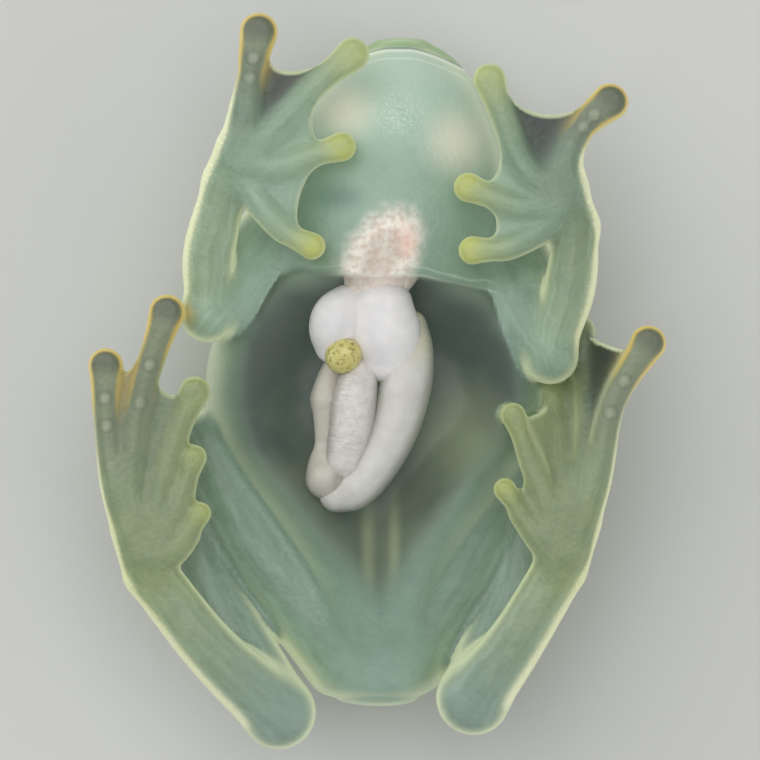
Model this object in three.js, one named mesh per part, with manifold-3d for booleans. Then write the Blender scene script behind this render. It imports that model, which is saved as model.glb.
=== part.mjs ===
// A glass frog, life size, lying on its back with its clear belly up: arms folded beside the throat,
// hands over it, legs folded along the body, and the organs in an open hollow under the clear skin.
// Millimetres. +Z is the belly side, +Y points to the snout and +X is the animal's left.
import * as THREE from 'three';
import { mergeVertices } from 'three/addons/utils/BufferGeometryUtils.js';
import Module from 'manifold-3d';

const wasm = await Module();
wasm.setup();

// Driving dimensions
const GAP = 0.3;                 // clearance between neighbouring pieces
const PRESS_LEVEL = 8.2;         // height of the pressed hands, feet and belly over the resting back
const NECK = { y: 6.9, level: 3.9, lean: -0.25, turn: -0.105 };   // cut between torso and head
const MOUTH_Z = 4.3;             // level of the mouth line
const BODY_X = 0.05;             // the body's axis beside the middle of the whole frog
const HEAD_LEAN = Math.tan(THREE.MathUtils.degToRad(6));   // the head is turned to the animal's left
const LEAN_FROM_Y = 5.0;         // the turn starts in the neck
const SKIN_THICKNESS = 0.5;      // clear belly skin
const WEB_THICKNESS = 0.5;
const WORKING_SPAN = 60;         // half size of the cutting boxes
const SMALLEST_EDGE = 0.004;     // shorter edges left by the cuts are closed up

// Body from vent to snout: [y, half width, level of the back, level of the belly]
const BODY_STATIONS = [
  [-11.5, 1.35, 2.7, 5.7], [-10.9, 2.05, 1.7, 6.3], [-9.4, 2.5, 0.8, 6.8], [-7.5, 2.85, 0.2, 7.2],
  [-5.5, 3.95, -0.1, 7.75], [-3.5, 5.3, -0.15, 8.1], [-1.9, 6.1, -0.12, 8.25], [-0.5, 6.35, 0.02, 8.3],
  [1.0, 6.2, 0.3, 8.15], [2.6, 5.6, 0.65, 7.75], [4.2, 4.75, 0.9, 7.2], [5.6, 4.5, 1.0, 7.0],
  [7.2, 4.3, 1.15, 6.9], [8.6, 3.9, 1.3, 6.75], [9.8, 3.3, 1.5, 6.5], [10.8, 2.7, 1.8, 6.15],
  [11.6, 1.9, 2.2, 5.7], [12.1, 1.0, 2.7, 5.2],
];
const BODY_ROUNDNESS = 2.15;     // exponent of the body's cross sections, 2 is an ellipse
const BODY_WAIST_SHARE = 0.48;   // the widest level of a section between its back and belly
const BODY_END_REACH = 0.3;      // how far snout and vent round off past the last stations

// Clear window in the belly, from its lower point to the heart: [y, half width, floor of the hollow]
const WINDOW_STATIONS = [
  [-7.6, 0.6, 6.2], [-6.6, 1.3, 5.6], [-5.0, 2.5, 4.9], [-3.3, 3.9, 4.5], [-1.6, 4.9, 4.4],
  [0.2, 5.2, 4.4], [1.8, 4.75, 4.4], [3.0, 3.5, 4.5], [3.7, 2.3, 4.6], [4.5, 1.75, 4.7],
  [5.3, 1.55, 4.8], [5.9, 1.1, 4.8],
];
const HOLLOW_WAIST = 5.7;        // above this level the hollow's walls stand straight
const HOLLOW_LEDGE = 0.6;        // how far below that level the clear skin may reach down
const HOLLOW_TOP = 9.5;
const HOLLOW_WALL_EXPONENT = 8;
const HOLLOW_END_REACH = 0.35;

// Joints and digits of the folded limbs: [x, y, z]. A digit runs from its root to the centre of its disc,
// and the webs list how far they reach along each pair of digits, from the innermost pair out.
const ARMS = {
  right: {
    shoulder: [-3.7, 5.1, 4.7], elbow: [-6.15, 2.35, 6.6], forearm: [-6.1, 4.5, 7.0],
    wrist: [-5.5, 7.1, 7.45], palm: [-4.95, 8.1, 7.7],
    fingers: [
      { path: [[-4.7, 7.0, 7.6], [-4.1, 6.1, 7.7], [-3.35, 5.3, 7.72], [-2.4, 4.8, 7.7]], disc: 0.5 },
      { path: [[-4.6, 7.7, 7.7], [-3.7, 7.6, 7.72], [-2.5, 8.0, 7.72], [-1.35, 8.35, 7.7]], disc: 0.54 },
      {
        path: [[-4.5, 8.1, 7.7], [-3.6, 9.1, 7.72], [-2.2, 10.6, 7.72], [-0.95, 11.65, 7.72]],
        disc: 0.62,
      },
      {
        path: [[-5.0, 8.1, 7.7], [-4.8, 9.4, 7.72], [-4.58, 11.0, 7.72], [-4.3, 12.45, 7.72]],
        disc: 0.7, root: 0.82,
      },
    ],
    webs: [[0.84, 0.8, 0.15], [0.8, 0.72, 0.15], [0.95, 0.86, 0.19]],
  },
  left: {
    shoulder: [4.45, 5.1, 4.7], elbow: [6.15, 0.85, 6.95], forearm: [6.82, 3.3, 7.1],
    wrist: [7.08, 5.5, 7.45], palm: [6.5, 6.8, 7.7],
    fingers: [
      { path: [[6.2, 5.7, 7.6], [5.5, 5.2, 7.7], [4.5, 4.72, 7.72], [3.35, 4.65, 7.7]], disc: 0.52 },
      { path: [[6.3, 6.3, 7.7], [5.4, 6.15, 7.72], [4.3, 6.45, 7.72], [3.2, 6.9, 7.7]], disc: 0.54 },
      { path: [[6.2, 6.7, 7.7], [5.2, 7.6, 7.72], [4.5, 9.2, 7.72], [3.95, 10.75, 7.72]], disc: 0.6 },
      {
        path: [[6.7, 6.6, 7.7], [6.7, 8.0, 7.72], [7.4, 9.2, 7.72], [8.25, 9.95, 7.72]],
        disc: 0.68, root: 0.82,
      },
    ],
    webs: [[0.84, 0.8, 0.15], [0.84, 0.72, 0.15], [0.95, 0.95, 0.2]],
  },
};
const LEGS = {
  right: {
    hip: [-1.3, -9.9, 4.1], thigh: [-4.6, -5.6, 4.4], kneeTurn: [-6.45, -2.35, 4.3],
    knee: [-7.25, -2.75, 4.3], shank: [-6.3, -7.3, 4.8], heel: [-3.6, -11.95, 6.1],
    tarsus: [-5.98, -9.7, 7.1], ankle: [-8.2, -6.9, 7.5], foot: [-8.5, -5.4, 7.65],
    toes: [
      {
        path: [[-8.0, -6.4, 7.65], [-7.3, -6.1, 7.72], [-6.75, -5.4, 7.72], [-6.4, -4.75, 7.72]],
        disc: 0.42,
      },
      {
        path: [[-8.1, -6.2, 7.65], [-7.47, -5.2, 7.72], [-6.97, -3.9, 7.72], [-6.6, -2.75, 7.72]],
        disc: 0.46,
      },
      {
        path: [[-8.2, -6.0, 7.65], [-7.85, -4.0, 7.72], [-7.2, -1.9, 7.72], [-6.58, -0.4, 7.72]],
        disc: 0.56,
      },
      {
        path: [[-8.4, -6.0, 7.65], [-8.85, -3.2, 7.72], [-8.45, -0.4, 7.72], [-7.58, 2.42, 7.72]],
        disc: 0.66,
      },
      {
        path: [[-8.64, -6.2, 7.65], [-9.43, -3.8, 7.72], [-9.76, -1.3, 7.72], [-9.77, 0.52, 7.72]],
        disc: 0.64, root: 0.66,
      },
    ],
    webs: [[0.8, 0.6, 0.08], [0.85, 0.72, 0.08], [0.95, 0.72, 0.06], [0.88, 0.92, 0.05]],
  },
  left: {
    hip: [1.2, -9.6, 4.1], thigh: [3.2, -6.5, 4.4], kneeTurn: [4.95, -3.1, 4.3],
    knee: [6.0, -2.75, 4.3], shank: [5.0, -7.6, 4.8], heel: [3.38, -11.45, 6.1],
    tarsus: [4.95, -9.3, 7.1], ankle: [6.5, -6.7, 7.5], foot: [6.85, -5.1, 7.65],
    toes: [
      { path: [[6.3, -6.3, 7.65], [5.75, -5.7, 7.72], [5.1, -4.8, 7.72], [4.5, -3.9, 7.72]], disc: 0.42 },
      { path: [[6.4, -6.1, 7.65], [6.0, -4.4, 7.72], [5.4, -2.8, 7.75], [4.8, -1.25, 7.75]], disc: 0.46 },
      { path: [[6.6, -6.0, 7.65], [6.6, -4.2, 7.6], [6.45, -2.2, 6.7], [6.3, -0.6, 5.75]], disc: 0.5 },
      { path: [[6.8, -6.0, 7.65], [7.35, -3.2, 7.5], [7.45, -0.6, 6.3], [7.25, 1.75, 5.45]], disc: 0.58 },
      {
        path: [[6.95, -6.1, 7.65], [7.76, -3.6, 7.72], [8.38, -0.8, 7.72], [9.62, 1.32, 7.72]],
        disc: 0.66, root: 0.66,
      },
    ],
    webs: [[0.85, 0.62, 0.08], [0.85, 0.74, 0.08], [1, 0.98, 0.02], [1, 0.95, 0.02]],
  },
};

// Half widths and half depths of the limbs
const UPPER_ARM = { side: [1.4, 1.35, 0.85], depth: [1.1, 0.95, 0.8] };
const FOREARM = { side: [0.7, 0.94, 0.78], depth: [0.72, 0.8, 0.5] };
const PALM = { side: [0.78, 0.98], depth: [0.45, 0.45] };
const THIGH = { side: [1.5, 1.35, 1.1], depth: [1.9, 1.55, 1.15] };
const SHANK = { side: [1.0, 1.24, 1.26], depth: [0.95, 1.05, 0.85] };
const TARSUS = { side: [1.26, 1.03, 0.95], depth: [1.1, 0.85, 0.5] };
const SOLE = { side: [0.86, 1.06], depth: [0.48, 0.45] };
const DIGIT = { root: 0.56, shaft: 0.46, neckShare: 0.78, neckLength: 1.5, depth: 0.42, discDepth: 0.46 };
const DIGIT_BENDS = [0.33, 0.66];   // shares of a digit's length between its root and its neck

// Eyes sit in the sides of the skull; each looks forwards, outwards and up from the back
const EYE = { radius: 1.22, along: 9.15, beside: 2.12, level: 2.1, gaze: [0.72, 0.42, -0.55] };
const LID = {
  along: 9.1, beside: 1.95, level: 1.79, radius: 1.88, shape: [1, 1.06, 1],
  opening: 1.12, openingFlare: 1.25, openingDepth: 3,
};
const NOSTRIL = { share: 0.905, angle: -2.0, radius: 0.2 };
const LIP = { radius: 0.25, inset: 0.2, fromShare: 0.76, steps: 11 };

// Organs under the clear skin
const HEART = { centre: [0.15, 4.4, 5.7], radius: 1.2, shape: [1.04, 1.3, 0.62] };
const LIVER = {
  small: { centre: [-1.68, 2.15, 6.1], radius: 0.85, shape: [0.92, 1.35, 0.95] },
  large: { centre: [0.2, 1.75, 6.1], radius: 1.25, shape: [1.02, 1.3, 0.72] },
};
const GALL = { centre: [-1.3, 0.85, 6.5], radius: 0.62 };
const STOMACH = {
  path: [
    [1.2, 1.8, 5.5], [1.25, 0.9, 5.75], [1.05, -0.2, 5.95], [0.6, -1.7, 6.0],
    [-0.05, -3.0, 6.0], [-0.8, -3.9, 5.95], [-1.55, -4.25, 5.9],
  ],
  side: [0.6, 0.74, 0.84, 0.82, 0.78, 0.7, 0.56],
};
const INTESTINE = {
  path: [[-0.72, 0.1, 6.15], [-0.88, -0.8, 6.3], [-1.0, -1.8, 6.3], [-1.2, -2.8, 6.2]],
  side: [0.56, 0.7, 0.7, 0.58],
};
const COIL = { path: [[-2.0, -0.2, 5.6], [-2.1, -1.7, 5.55], [-2.1, -3.35, 5.7]], side: [0.44, 0.5, 0.66] };

// How finely the forms are divided
const LIMB_MESH = { sides: 12, rings: 8, capRings: 2 };
const DIGIT_MESH = { sides: 7, rings: 6 };
const PALM_MESH = { sides: 9, rings: 3 };
const BODY_MESH = { rings: 25, sides: 18 };
const HOLLOW_MESH = { rings: 15, sides: 16 };
const WEB_MESH = { across: 4, along: 5 };
const BALL_SEGMENTS = 14;
const NOSTRIL_SEGMENTS = 8;
const ORGAN_SIDES = 9;
const LIP_SIDES = 5;
const CAP_STEPS = 3;             // rounding steps at both ends of the body
const BALL_BAND_SHARE = 0.7;     // a ball's bands from pole to pole, as a share of its segments

function vector(point) {
  return new THREE.Vector3(...point);
}

// Closed geometry as a solid whose faces point outwards
function solidFrom(geometry) {
  geometry.deleteAttribute('normal');
  geometry.deleteAttribute('uv');
  const merged = mergeVertices(geometry);
  const corners = new Uint32Array(merged.index.array);
  const vertProperties = new Float32Array(merged.attributes.position.array);
  const solid = new wasm.Manifold(new wasm.Mesh({ numProp: 3, vertProperties, triVerts: corners }));
  if (solid.volume() > 0) return solid;
  const turned = corners.map((_, i) => corners[i - (i % 3) + 2 - (i % 3)]);
  return new wasm.Manifold(new wasm.Mesh({ numProp: 3, vertProperties, triVerts: turned }));
}

// Closed skin over rings of points, with a pole at each end
function skinned(rings, startPole, endPole) {
  const sides = rings[0].length;
  const points = [startPole, ...rings.flat(), endPole];
  const faces = [];
  const at = (ring, side) => 1 + ring * sides + (side % sides);
  for (let side = 0; side < sides; side += 1) {
    faces.push(0, at(0, side + 1), at(0, side));
    for (let ring = 0; ring + 1 < rings.length; ring += 1) {
      faces.push(at(ring, side), at(ring, side + 1), at(ring + 1, side + 1));
      faces.push(at(ring, side), at(ring + 1, side + 1), at(ring + 1, side));
    }
    faces.push(points.length - 1, at(rings.length - 1, side), at(rings.length - 1, side + 1));
  }
  const geometry = new THREE.BufferGeometry().setFromPoints(points);
  geometry.setIndex(faces);
  return solidFrom(geometry);
}

// Elliptical ring across a path: side lies level, depth is square to it
function limbRing(centre, tangent, side, depth, sides) {
  const across = new THREE.Vector3(0, 0, 1).cross(tangent).normalize();
  const up = tangent.clone().cross(across).normalize();
  return Array.from({ length: sides }, (_, index) => {
    const angle = (2 * Math.PI * index) / sides;
    return centre.clone()
      .addScaledVector(across, side * Math.cos(angle))
      .addScaledVector(up, depth * Math.sin(angle));
  });
}

// Tube with round ends along points with half widths and half depths, grown all round when asked
function limb(points, sizes, options) {
  const { sides, rings, capRings, grow } = { ...LIMB_MESH, grow: 0, ...options };
  const path = new THREE.CatmullRomCurve3(points.map(vector));
  const girths = sizes.side.map((side, i) => new THREE.Vector3(side, sizes.depth[i], 0));
  const girth = new THREE.CatmullRomCurve3(girths);
  const section = (share) => {
    const size = girth.getPoint(share);
    const place = { centre: path.getPoint(share), tangent: path.getTangent(share) };
    return { ...place, side: size.x + grow, depth: size.y + grow };
  };
  const loops = [];
  const addCap = (end, outward) => {
    for (let index = 1; index <= capRings; index += 1) {
      const step = outward > 0 ? index : capRings + 1 - index;
      const angle = (step / (capRings + 1)) * (Math.PI / 2);
      const centre = end.centre.clone().addScaledVector(end.tangent, outward * end.side * Math.sin(angle));
      const shrink = Math.cos(angle);
      loops.push(limbRing(centre, end.tangent, end.side * shrink, end.depth * shrink, sides));
    }
  };
  const start = section(0);
  const end = section(1);
  addCap(start, -1);
  for (let ring = 0; ring < rings; ring += 1) {
    const at = section(ring / (rings - 1));
    loops.push(limbRing(at.centre, at.tangent, at.side, at.depth, sides));
  }
  addCap(end, 1);
  return skinned(
    loops,
    start.centre.clone().addScaledVector(start.tangent, -start.side),
    end.centre.clone().addScaledVector(end.tangent, end.side),
  );
}

function joined(solids) {
  return solids.reduce((whole, solid) => whole.add(solid));
}

// Finger or toe with a round pad on its tip
function digit({ path, disc, root = DIGIT.root }, grow) {
  const sizes = {
    side: [root, (root + DIGIT.shaft) / 2, DIGIT.shaft, DIGIT.neckShare * disc, disc],
    depth: [DIGIT.depth, DIGIT.depth, DIGIT.depth, DIGIT.depth, DIGIT.discDepth],
  };
  const curve = new THREE.CatmullRomCurve3(path.map(vector));
  const neckAt = 1 - (DIGIT.neckLength * disc) / curve.getLength();
  const shares = [0, ...DIGIT_BENDS, neckAt, 1];
  const points = shares.map((share) => curve.getPointAt(share).toArray());
  return limb(points, sizes, { ...DIGIT_MESH, grow });
}

// Thin skin between two digits: it reaches a share of the way along each, and its edge sags between them
function web(first, second, [reachFirst, reachSecond, sag], grow) {
  const curves = [first, second].map(({ path }) => new THREE.CatmullRomCurve3(path.map(vector)));
  const { across, along } = WEB_MESH;
  const half = WEB_THICKNESS / 2 + grow;
  const points = [];
  const sheetSize = across * along;
  [-half, half].forEach((lift) => {
    for (let i = 0; i < across; i += 1) {
      const over = i / (across - 1);
      const edge = THREE.MathUtils.lerp(reachFirst, reachSecond, over) * (1 - sag * 4 * over * (1 - over));
      for (let j = 0; j < along; j += 1) {
        const share = edge * (j / (along - 1));
        const point = curves[0].getPointAt(share).lerp(curves[1].getPointAt(share), over);
        points.push(point.add(new THREE.Vector3(0, 0, lift)));
      }
    }
  });
  const faces = [];
  const quad = (a, b, c, d) => faces.push(a, b, c, a, c, d);
  for (let i = 0; i + 1 < across; i += 1) {
    for (let j = 0; j + 1 < along; j += 1) {
      const a = i * along + j;
      const corners = [a, a + along, a + along + 1, a + 1];
      quad(...corners.map((index) => index + sheetSize));
      faces.push(corners[2], corners[1], corners[0], corners[3], corners[2], corners[0]);
    }
  }
  const rim = [];
  for (let i = 0; i + 1 < across; i += 1) rim.push(i * along);
  for (let j = 0; j + 1 < along; j += 1) rim.push((across - 1) * along + j);
  for (let i = across - 1; i > 0; i -= 1) rim.push(i * along + along - 1);
  for (let j = along - 1; j > 0; j -= 1) rim.push(j);
  rim.forEach((from, index) => {
    const to = rim[(index + 1) % rim.length];
    quad(from, to, to + sheetSize, from + sheetSize);
  });
  const geometry = new THREE.BufferGeometry().setFromPoints(points);
  geometry.setIndex(faces);
  return solidFrom(geometry);
}

// Column of a list of stations as a smooth function of the share along the list
function columnOf(stations, column) {
  const points = stations.map((station) => new THREE.Vector3(station[column], 0, 0));
  const spline = new THREE.CatmullRomCurve3(points);
  return (share) => spline.getPoint(share).x;
}

function bodyAxis(y) {
  return BODY_X + Math.max(0, y - LEAN_FROM_Y) * HEAD_LEAN;
}

// Signed power that turns a circle's cosine or sine into a fuller or slacker curve
function bent(value, exponent) {
  return Math.sign(value) * Math.abs(value) ** (2 / exponent);
}

// One cross section of the body: its upper and lower halves meet at the waist
function bodyRing({ y, half, bottom, top, waist, upperExponent }, sides) {
  return Array.from({ length: sides }, (_, index) => {
    const angle = (2 * Math.PI * index) / sides;
    const upper = Math.sin(angle) >= 0;
    const exponent = upper ? upperExponent : BODY_ROUNDNESS;
    const height = upper ? top - waist : waist - bottom;
    const x = bodyAxis(y) + half * bent(Math.cos(angle), exponent);
    return new THREE.Vector3(x, y, waist + height * bent(Math.sin(angle), exponent));
  });
}

// Closed form along the body's length, with rounded ends
function bodyForm(sectionAt, { rings, sides, reach }) {
  const rounded = (share, outward, step) => {
    const angle = (step / CAP_STEPS) * (Math.PI / 2);
    const end = sectionAt(share);
    const shrink = Math.cos(angle);
    return bodyRing({
      ...end,
      y: end.y + outward * reach * Math.sin(angle),
      half: end.half * shrink,
      bottom: end.waist - (end.waist - end.bottom) * shrink,
      top: end.waist + (end.top - end.waist) * shrink,
    }, sides);
  };
  const poleAt = (share, outward) => {
    const end = sectionAt(share);
    const y = end.y + outward * reach;
    return new THREE.Vector3(bodyAxis(y), y, end.waist);
  };
  const middle = Array.from({ length: rings }, (_, ring) => bodyRing(sectionAt(ring / (rings - 1)), sides));
  const loops = [rounded(0, -1, 2), rounded(0, -1, 1), ...middle, rounded(1, 1, 1), rounded(1, 1, 2)];
  return skinned(loops, poleAt(0, -1), poleAt(1, 1));
}

const columnsOf = (stations) => stations[0].map((_, column) => columnOf(stations, column));
const [bodyY, bodyHalf, bodyBack, bodyBelly] = columnsOf(BODY_STATIONS);
const [windowY, windowHalf, windowFloor] = columnsOf(WINDOW_STATIONS);

function bodySection(share, grow = 0) {
  const bottom = bodyBack(share) - grow;
  const top = bodyBelly(share) + grow;
  const waist = bottom + BODY_WAIST_SHARE * (top - bottom);
  const half = bodyHalf(share) + grow;
  return { y: bodyY(share), half, bottom, top, waist, upperExponent: BODY_ROUNDNESS };
}

function body(grow = 0) {
  return bodyForm((share) => bodySection(share, grow), { ...BODY_MESH, reach: BODY_END_REACH + grow });
}

// Hollow under the window, or with a floor above the waist the straight plug that cuts the window out
function hollow({ grow, floor }) {
  const sectionAt = (share) => {
    const bottom = floor ?? windowFloor(share);
    const waist = Math.max(HOLLOW_WAIST, bottom);
    const half = windowHalf(share) + grow;
    return { y: windowY(share), half, bottom, top: HOLLOW_TOP, waist, upperExponent: HOLLOW_WALL_EXPONENT };
  };
  return bodyForm(sectionAt, { ...HOLLOW_MESH, reach: HOLLOW_END_REACH + grow });
}

// Point on the body's surface at a share of its length, at an angle from the left side round over the belly
function onBody(share, angle) {
  const section = bodySection(share);
  const height = Math.sin(angle) >= 0 ? section.top - section.waist : section.waist - section.bottom;
  const x = bodyAxis(section.y) + section.half * bent(Math.cos(angle), BODY_ROUNDNESS);
  return new THREE.Vector3(x, section.y, section.waist + height * bent(Math.sin(angle), BODY_ROUNDNESS));
}

// Box between two levels on one axis, wide enough to cut the whole frog
function slab(axis, from, to) {
  const size = new THREE.Vector3(WORKING_SPAN, WORKING_SPAN, WORKING_SPAN).setComponent(axis, to - from);
  const geometry = new THREE.BoxGeometry(...size.toArray());
  geometry.translate(...new THREE.Vector3().setComponent(axis, (from + to) / 2).toArray());
  return solidFrom(geometry);
}

// Everything behind the neck's slanting cut, moved forward by a clearance
function behindNeck(clearance) {
  const geometry = new THREE.BoxGeometry(WORKING_SPAN, WORKING_SPAN, WORKING_SPAN);
  geometry.translate(0, clearance - WORKING_SPAN / 2, 0);
  geometry.rotateX(NECK.lean);
  geometry.rotateZ(NECK.turn);
  geometry.translate(BODY_X, NECK.y, NECK.level);
  return solidFrom(geometry);
}

function ball(centre, radius, [x, y, z] = [1, 1, 1], segments = BALL_SEGMENTS) {
  const geometry = new THREE.SphereGeometry(radius, segments, Math.round(segments * BALL_BAND_SHARE));
  geometry.scale(x, y, z);
  geometry.translate(...centre);
  return solidFrom(geometry);
}

const AXIS = { x: 0, y: 1, z: 2 };
const PRESSED = slab(AXIS.z, 0, PRESS_LEVEL);

function eyeCentre(sign) {
  return [bodyAxis(EYE.along) + sign * EYE.beside, EYE.along, EYE.level];
}

function gazeOf(sign) {
  const [x, y, z] = EYE.gaze;
  return new THREE.Vector3(sign * x, y, z).normalize();
}

// Round opening that the eye looks out of
function lidOpening(sign) {
  const { opening, openingDepth: depth } = LID;
  const geometry = new THREE.CylinderGeometry(opening * LID.openingFlare, opening, depth, BALL_SEGMENTS);
  geometry.translate(0, depth / 2, 0);
  const along = new THREE.Vector3(0, 1, 0);
  geometry.applyQuaternion(new THREE.Quaternion().setFromUnitVectors(along, gazeOf(sign)));
  geometry.translate(...eyeCentre(sign));
  return solidFrom(geometry);
}

function lidMound(sign) {
  return ball([bodyAxis(EYE.along) + sign * LID.beside, LID.along, LID.level], LID.radius, LID.shape);
}

// Lip along the edge of the mouth, parted later by the line of the mouth
function lipRoll() {
  const shareOf = (_, i) => THREE.MathUtils.lerp(LIP.fromShare, 1, i / (LIP.steps - 1));
  const shares = Array.from({ length: LIP.steps }, shareOf);
  const sideAt = (share, sign) => {
    const section = bodySection(share);
    const rise = (MOUTH_Z - section.waist) / (section.top - section.waist);
    const reach = Math.max(0, 1 - Math.abs(rise) ** BODY_ROUNDNESS) ** (1 / BODY_ROUNDNESS);
    return [bodyAxis(section.y) + sign * (section.half * reach - LIP.inset), section.y, MOUTH_Z];
  };
  const right = shares.map((share) => sideAt(share, -1));
  const left = shares.map((share) => sideAt(share, 1)).reverse();
  const rim = [...right, ...left];
  const round = [LIP.radius, LIP.radius];
  return limb(rim, { side: round, depth: round }, { sides: LIP_SIDES, rings: rim.length });
}

function organTube({ path, side }, grow) {
  return limb(path, { side, depth: side }, { sides: ORGAN_SIDES, rings: path.length * 2, grow });
}

function organBall({ centre, radius, shape = [1, 1, 1] }, grow) {
  return ball(centre, radius, shape.map((stretch) => stretch + grow / radius));
}

// Palm or sole with its digits and the webs between them
function pawOf({ path, sizes, digits, webs }, grow) {
  const pieces = digits.map((each) => digit(each, grow));
  pieces.push(limb(path, sizes, { ...PALM_MESH, grow }));
  webs.forEach((reaches, index) => pieces.push(web(digits[index], digits[index + 1], reaches, grow)));
  return joined(pieces).intersect(PRESSED);
}

const SIDES = { right: -1, left: 1 };
const limbPieces = Object.keys(SIDES).flatMap((side) => {
  const arm = ARMS[side];
  const leg = LEGS[side];
  const hand = { path: [arm.wrist, arm.palm], sizes: PALM, digits: arm.fingers, webs: arm.webs };
  const foot = { path: [leg.ankle, leg.foot], sizes: SOLE, digits: leg.toes, webs: leg.webs };
  const limbs = {
    forearm: { path: [arm.elbow, arm.forearm, arm.wrist], sizes: FOREARM },
    tarsus: { path: [leg.heel, leg.tarsus, leg.ankle], sizes: TARSUS },
    upper_arm: { path: [arm.shoulder, arm.elbow], sizes: UPPER_ARM },
    shank: { path: [leg.knee, leg.shank, leg.heel], sizes: SHANK },
    thigh: { path: [leg.hip, leg.thigh, leg.kneeTurn], sizes: THIGH },
  };
  return [
    { name: `hand_${side}`, look: 'skin', make: (grow) => pawOf(hand, grow) },
    { name: `foot_${side}`, look: 'skin', make: (grow) => pawOf(foot, grow) },
    ...Object.entries(limbs).map(([part, { path, sizes }]) => ({
      name: `${part}_${side}`, look: 'skin', make: (grow) => limb(path, sizes, { grow }),
    })),
  ];
});
const eyePieces = Object.entries(SIDES).map(([side, sign]) => ({
  name: `eye_${side}`,
  look: 'eye',
  make: (grow) => ball(eyeCentre(sign), EYE.radius + grow),
}));
const organPieces = [
  { name: 'gall_bladder', look: 'gall', make: (grow) => organBall(GALL, grow) },
  { name: 'intestine', look: 'organ', make: (grow) => organTube(INTESTINE, grow) },
  { name: 'liver_large', look: 'organ', make: (grow) => organBall(LIVER.large, grow) },
  { name: 'liver_small', look: 'organ', make: (grow) => organBall(LIVER.small, grow) },
  { name: 'stomach', look: 'organ', make: (grow) => organTube(STOMACH, grow) },
  { name: 'gut_coil', look: 'organ', make: (grow) => organTube(COIL, grow) },
  { name: 'heart', look: 'heart', make: (grow) => organBall(HEART, grow) },
];

// Clear skin over the hollow, and the body that it closes
const outer = body();
const clearSkin = {
  name: 'belly_skin',
  look: 'clear',
  make: () => outer.subtract(body(-SKIN_THICKNESS))
    .intersect(hollow({ grow: 0, floor: HOLLOW_WAIST - HOLLOW_LEDGE })),
};
const lidded = joined([outer, lidMound(-1), lidMound(1), lipRoll()])
  .subtract(lidOpening(-1)).subtract(lidOpening(1));
const nostrils = joined([NOSTRIL.angle, Math.PI - NOSTRIL.angle].map((angle) => {
  const centre = onBody(NOSTRIL.share, angle).toArray();
  return ball(centre, NOSTRIL.radius, [1, 1, 1], NOSTRIL_SEGMENTS);
}));
const trunkPieces = [
  clearSkin,
  {
    name: 'torso',
    look: 'skin',
    make: () => outer.intersect(behindNeck(0)).subtract(hollow({ grow: GAP })),
  },
  {
    name: 'head',
    look: 'skin',
    make: () => lidded.subtract(behindNeck(GAP)).intersect(slab(AXIS.z, -WORKING_SPAN, MOUTH_Z - GAP / 2))
      .subtract(nostrils),
  },
  {
    name: 'lower_jaw',
    look: 'skin',
    make: () => lidded.subtract(behindNeck(GAP)).intersect(slab(AXIS.z, MOUTH_Z + GAP / 2, WORKING_SPAN)),
  },
];

const LOOKS = {
  skin: { color: 0x8fae98, roughness: 0.35 },
  clear: { color: 0xb8cfc0, roughness: 0.15, transparent: true, opacity: 0.3 },
  eye: { color: 0xd9b04a, roughness: 0.15 },
  organ: { color: 0xd9d8d6, roughness: 0.4 },
  heart: { color: 0xdcc8bf, roughness: 0.45 },
  gall: { color: 0xbfb57a, roughness: 0.35 },
};

// Points nearer than the smallest edge are made one, and the triangles that this closes up go
function geometryOf(solid) {
  const { vertProperties, triVerts } = solid.getMesh();
  const raw = new THREE.BufferGeometry();
  raw.setAttribute('position', new THREE.BufferAttribute(new Float32Array(vertProperties), 3));
  raw.setIndex(Array.from(triVerts));
  const merged = mergeVertices(raw, SMALLEST_EDGE);
  const corners = merged.index.array;
  const kept = [];
  for (let face = 0; face < corners.length; face += 3) {
    const [a, b, c] = corners.slice(face, face + 3);
    if (a !== b && b !== c && c !== a) kept.push(a, b, c);
  }
  merged.setIndex(kept);
  merged.computeVertexNormals();
  return merged;
}

function largestOf(solid) {
  return solid.decompose().reduce((best, piece) => (piece.volume() > best.volume() ? piece : best));
}

// Every piece is cut clear of the pieces listed before it, by the gap
const frog = new THREE.Group();
const placed = [];
[...limbPieces, ...eyePieces, ...organPieces, ...trunkPieces].forEach(({ name, look, make }) => {
  let solid = make(0).intersect(PRESSED);
  placed.forEach((other) => {
    if (!solid.intersect(other.grown).isEmpty()) solid = solid.subtract(other.grown);
  });
  const whole = largestOf(solid);
  const mesh = new THREE.Mesh(geometryOf(whole), new THREE.MeshStandardMaterial(LOOKS[look]));
  mesh.name = name;
  frog.add(mesh);
  if (make.length > 0) placed.push({ grown: make(GAP) });
});

// The origin is under the middle of the whole frog, on the level that it rests on
const extent = new THREE.Box3().setFromObject(frog);
const middle = extent.getCenter(new THREE.Vector3());
frog.position.set(-middle.x, -middle.y, -extent.min.z);

export default frog;
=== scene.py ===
"""A life-size glass frog on its back, belly up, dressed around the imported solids.

Lengths are worked out in millimetres in the frog's own frame (+Z out of the belly, +Y to the snout, +X to
its left) and go into the meshes in metres. One closed skin stands for all nodes of flesh: it is the zero
level of a distance field joined from the body, the limbs, the digits and the webs.
"""

from __future__ import annotations

import logging
from dataclasses import dataclass, field, replace
from enum import Enum
from typing import Any, Sequence

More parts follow.
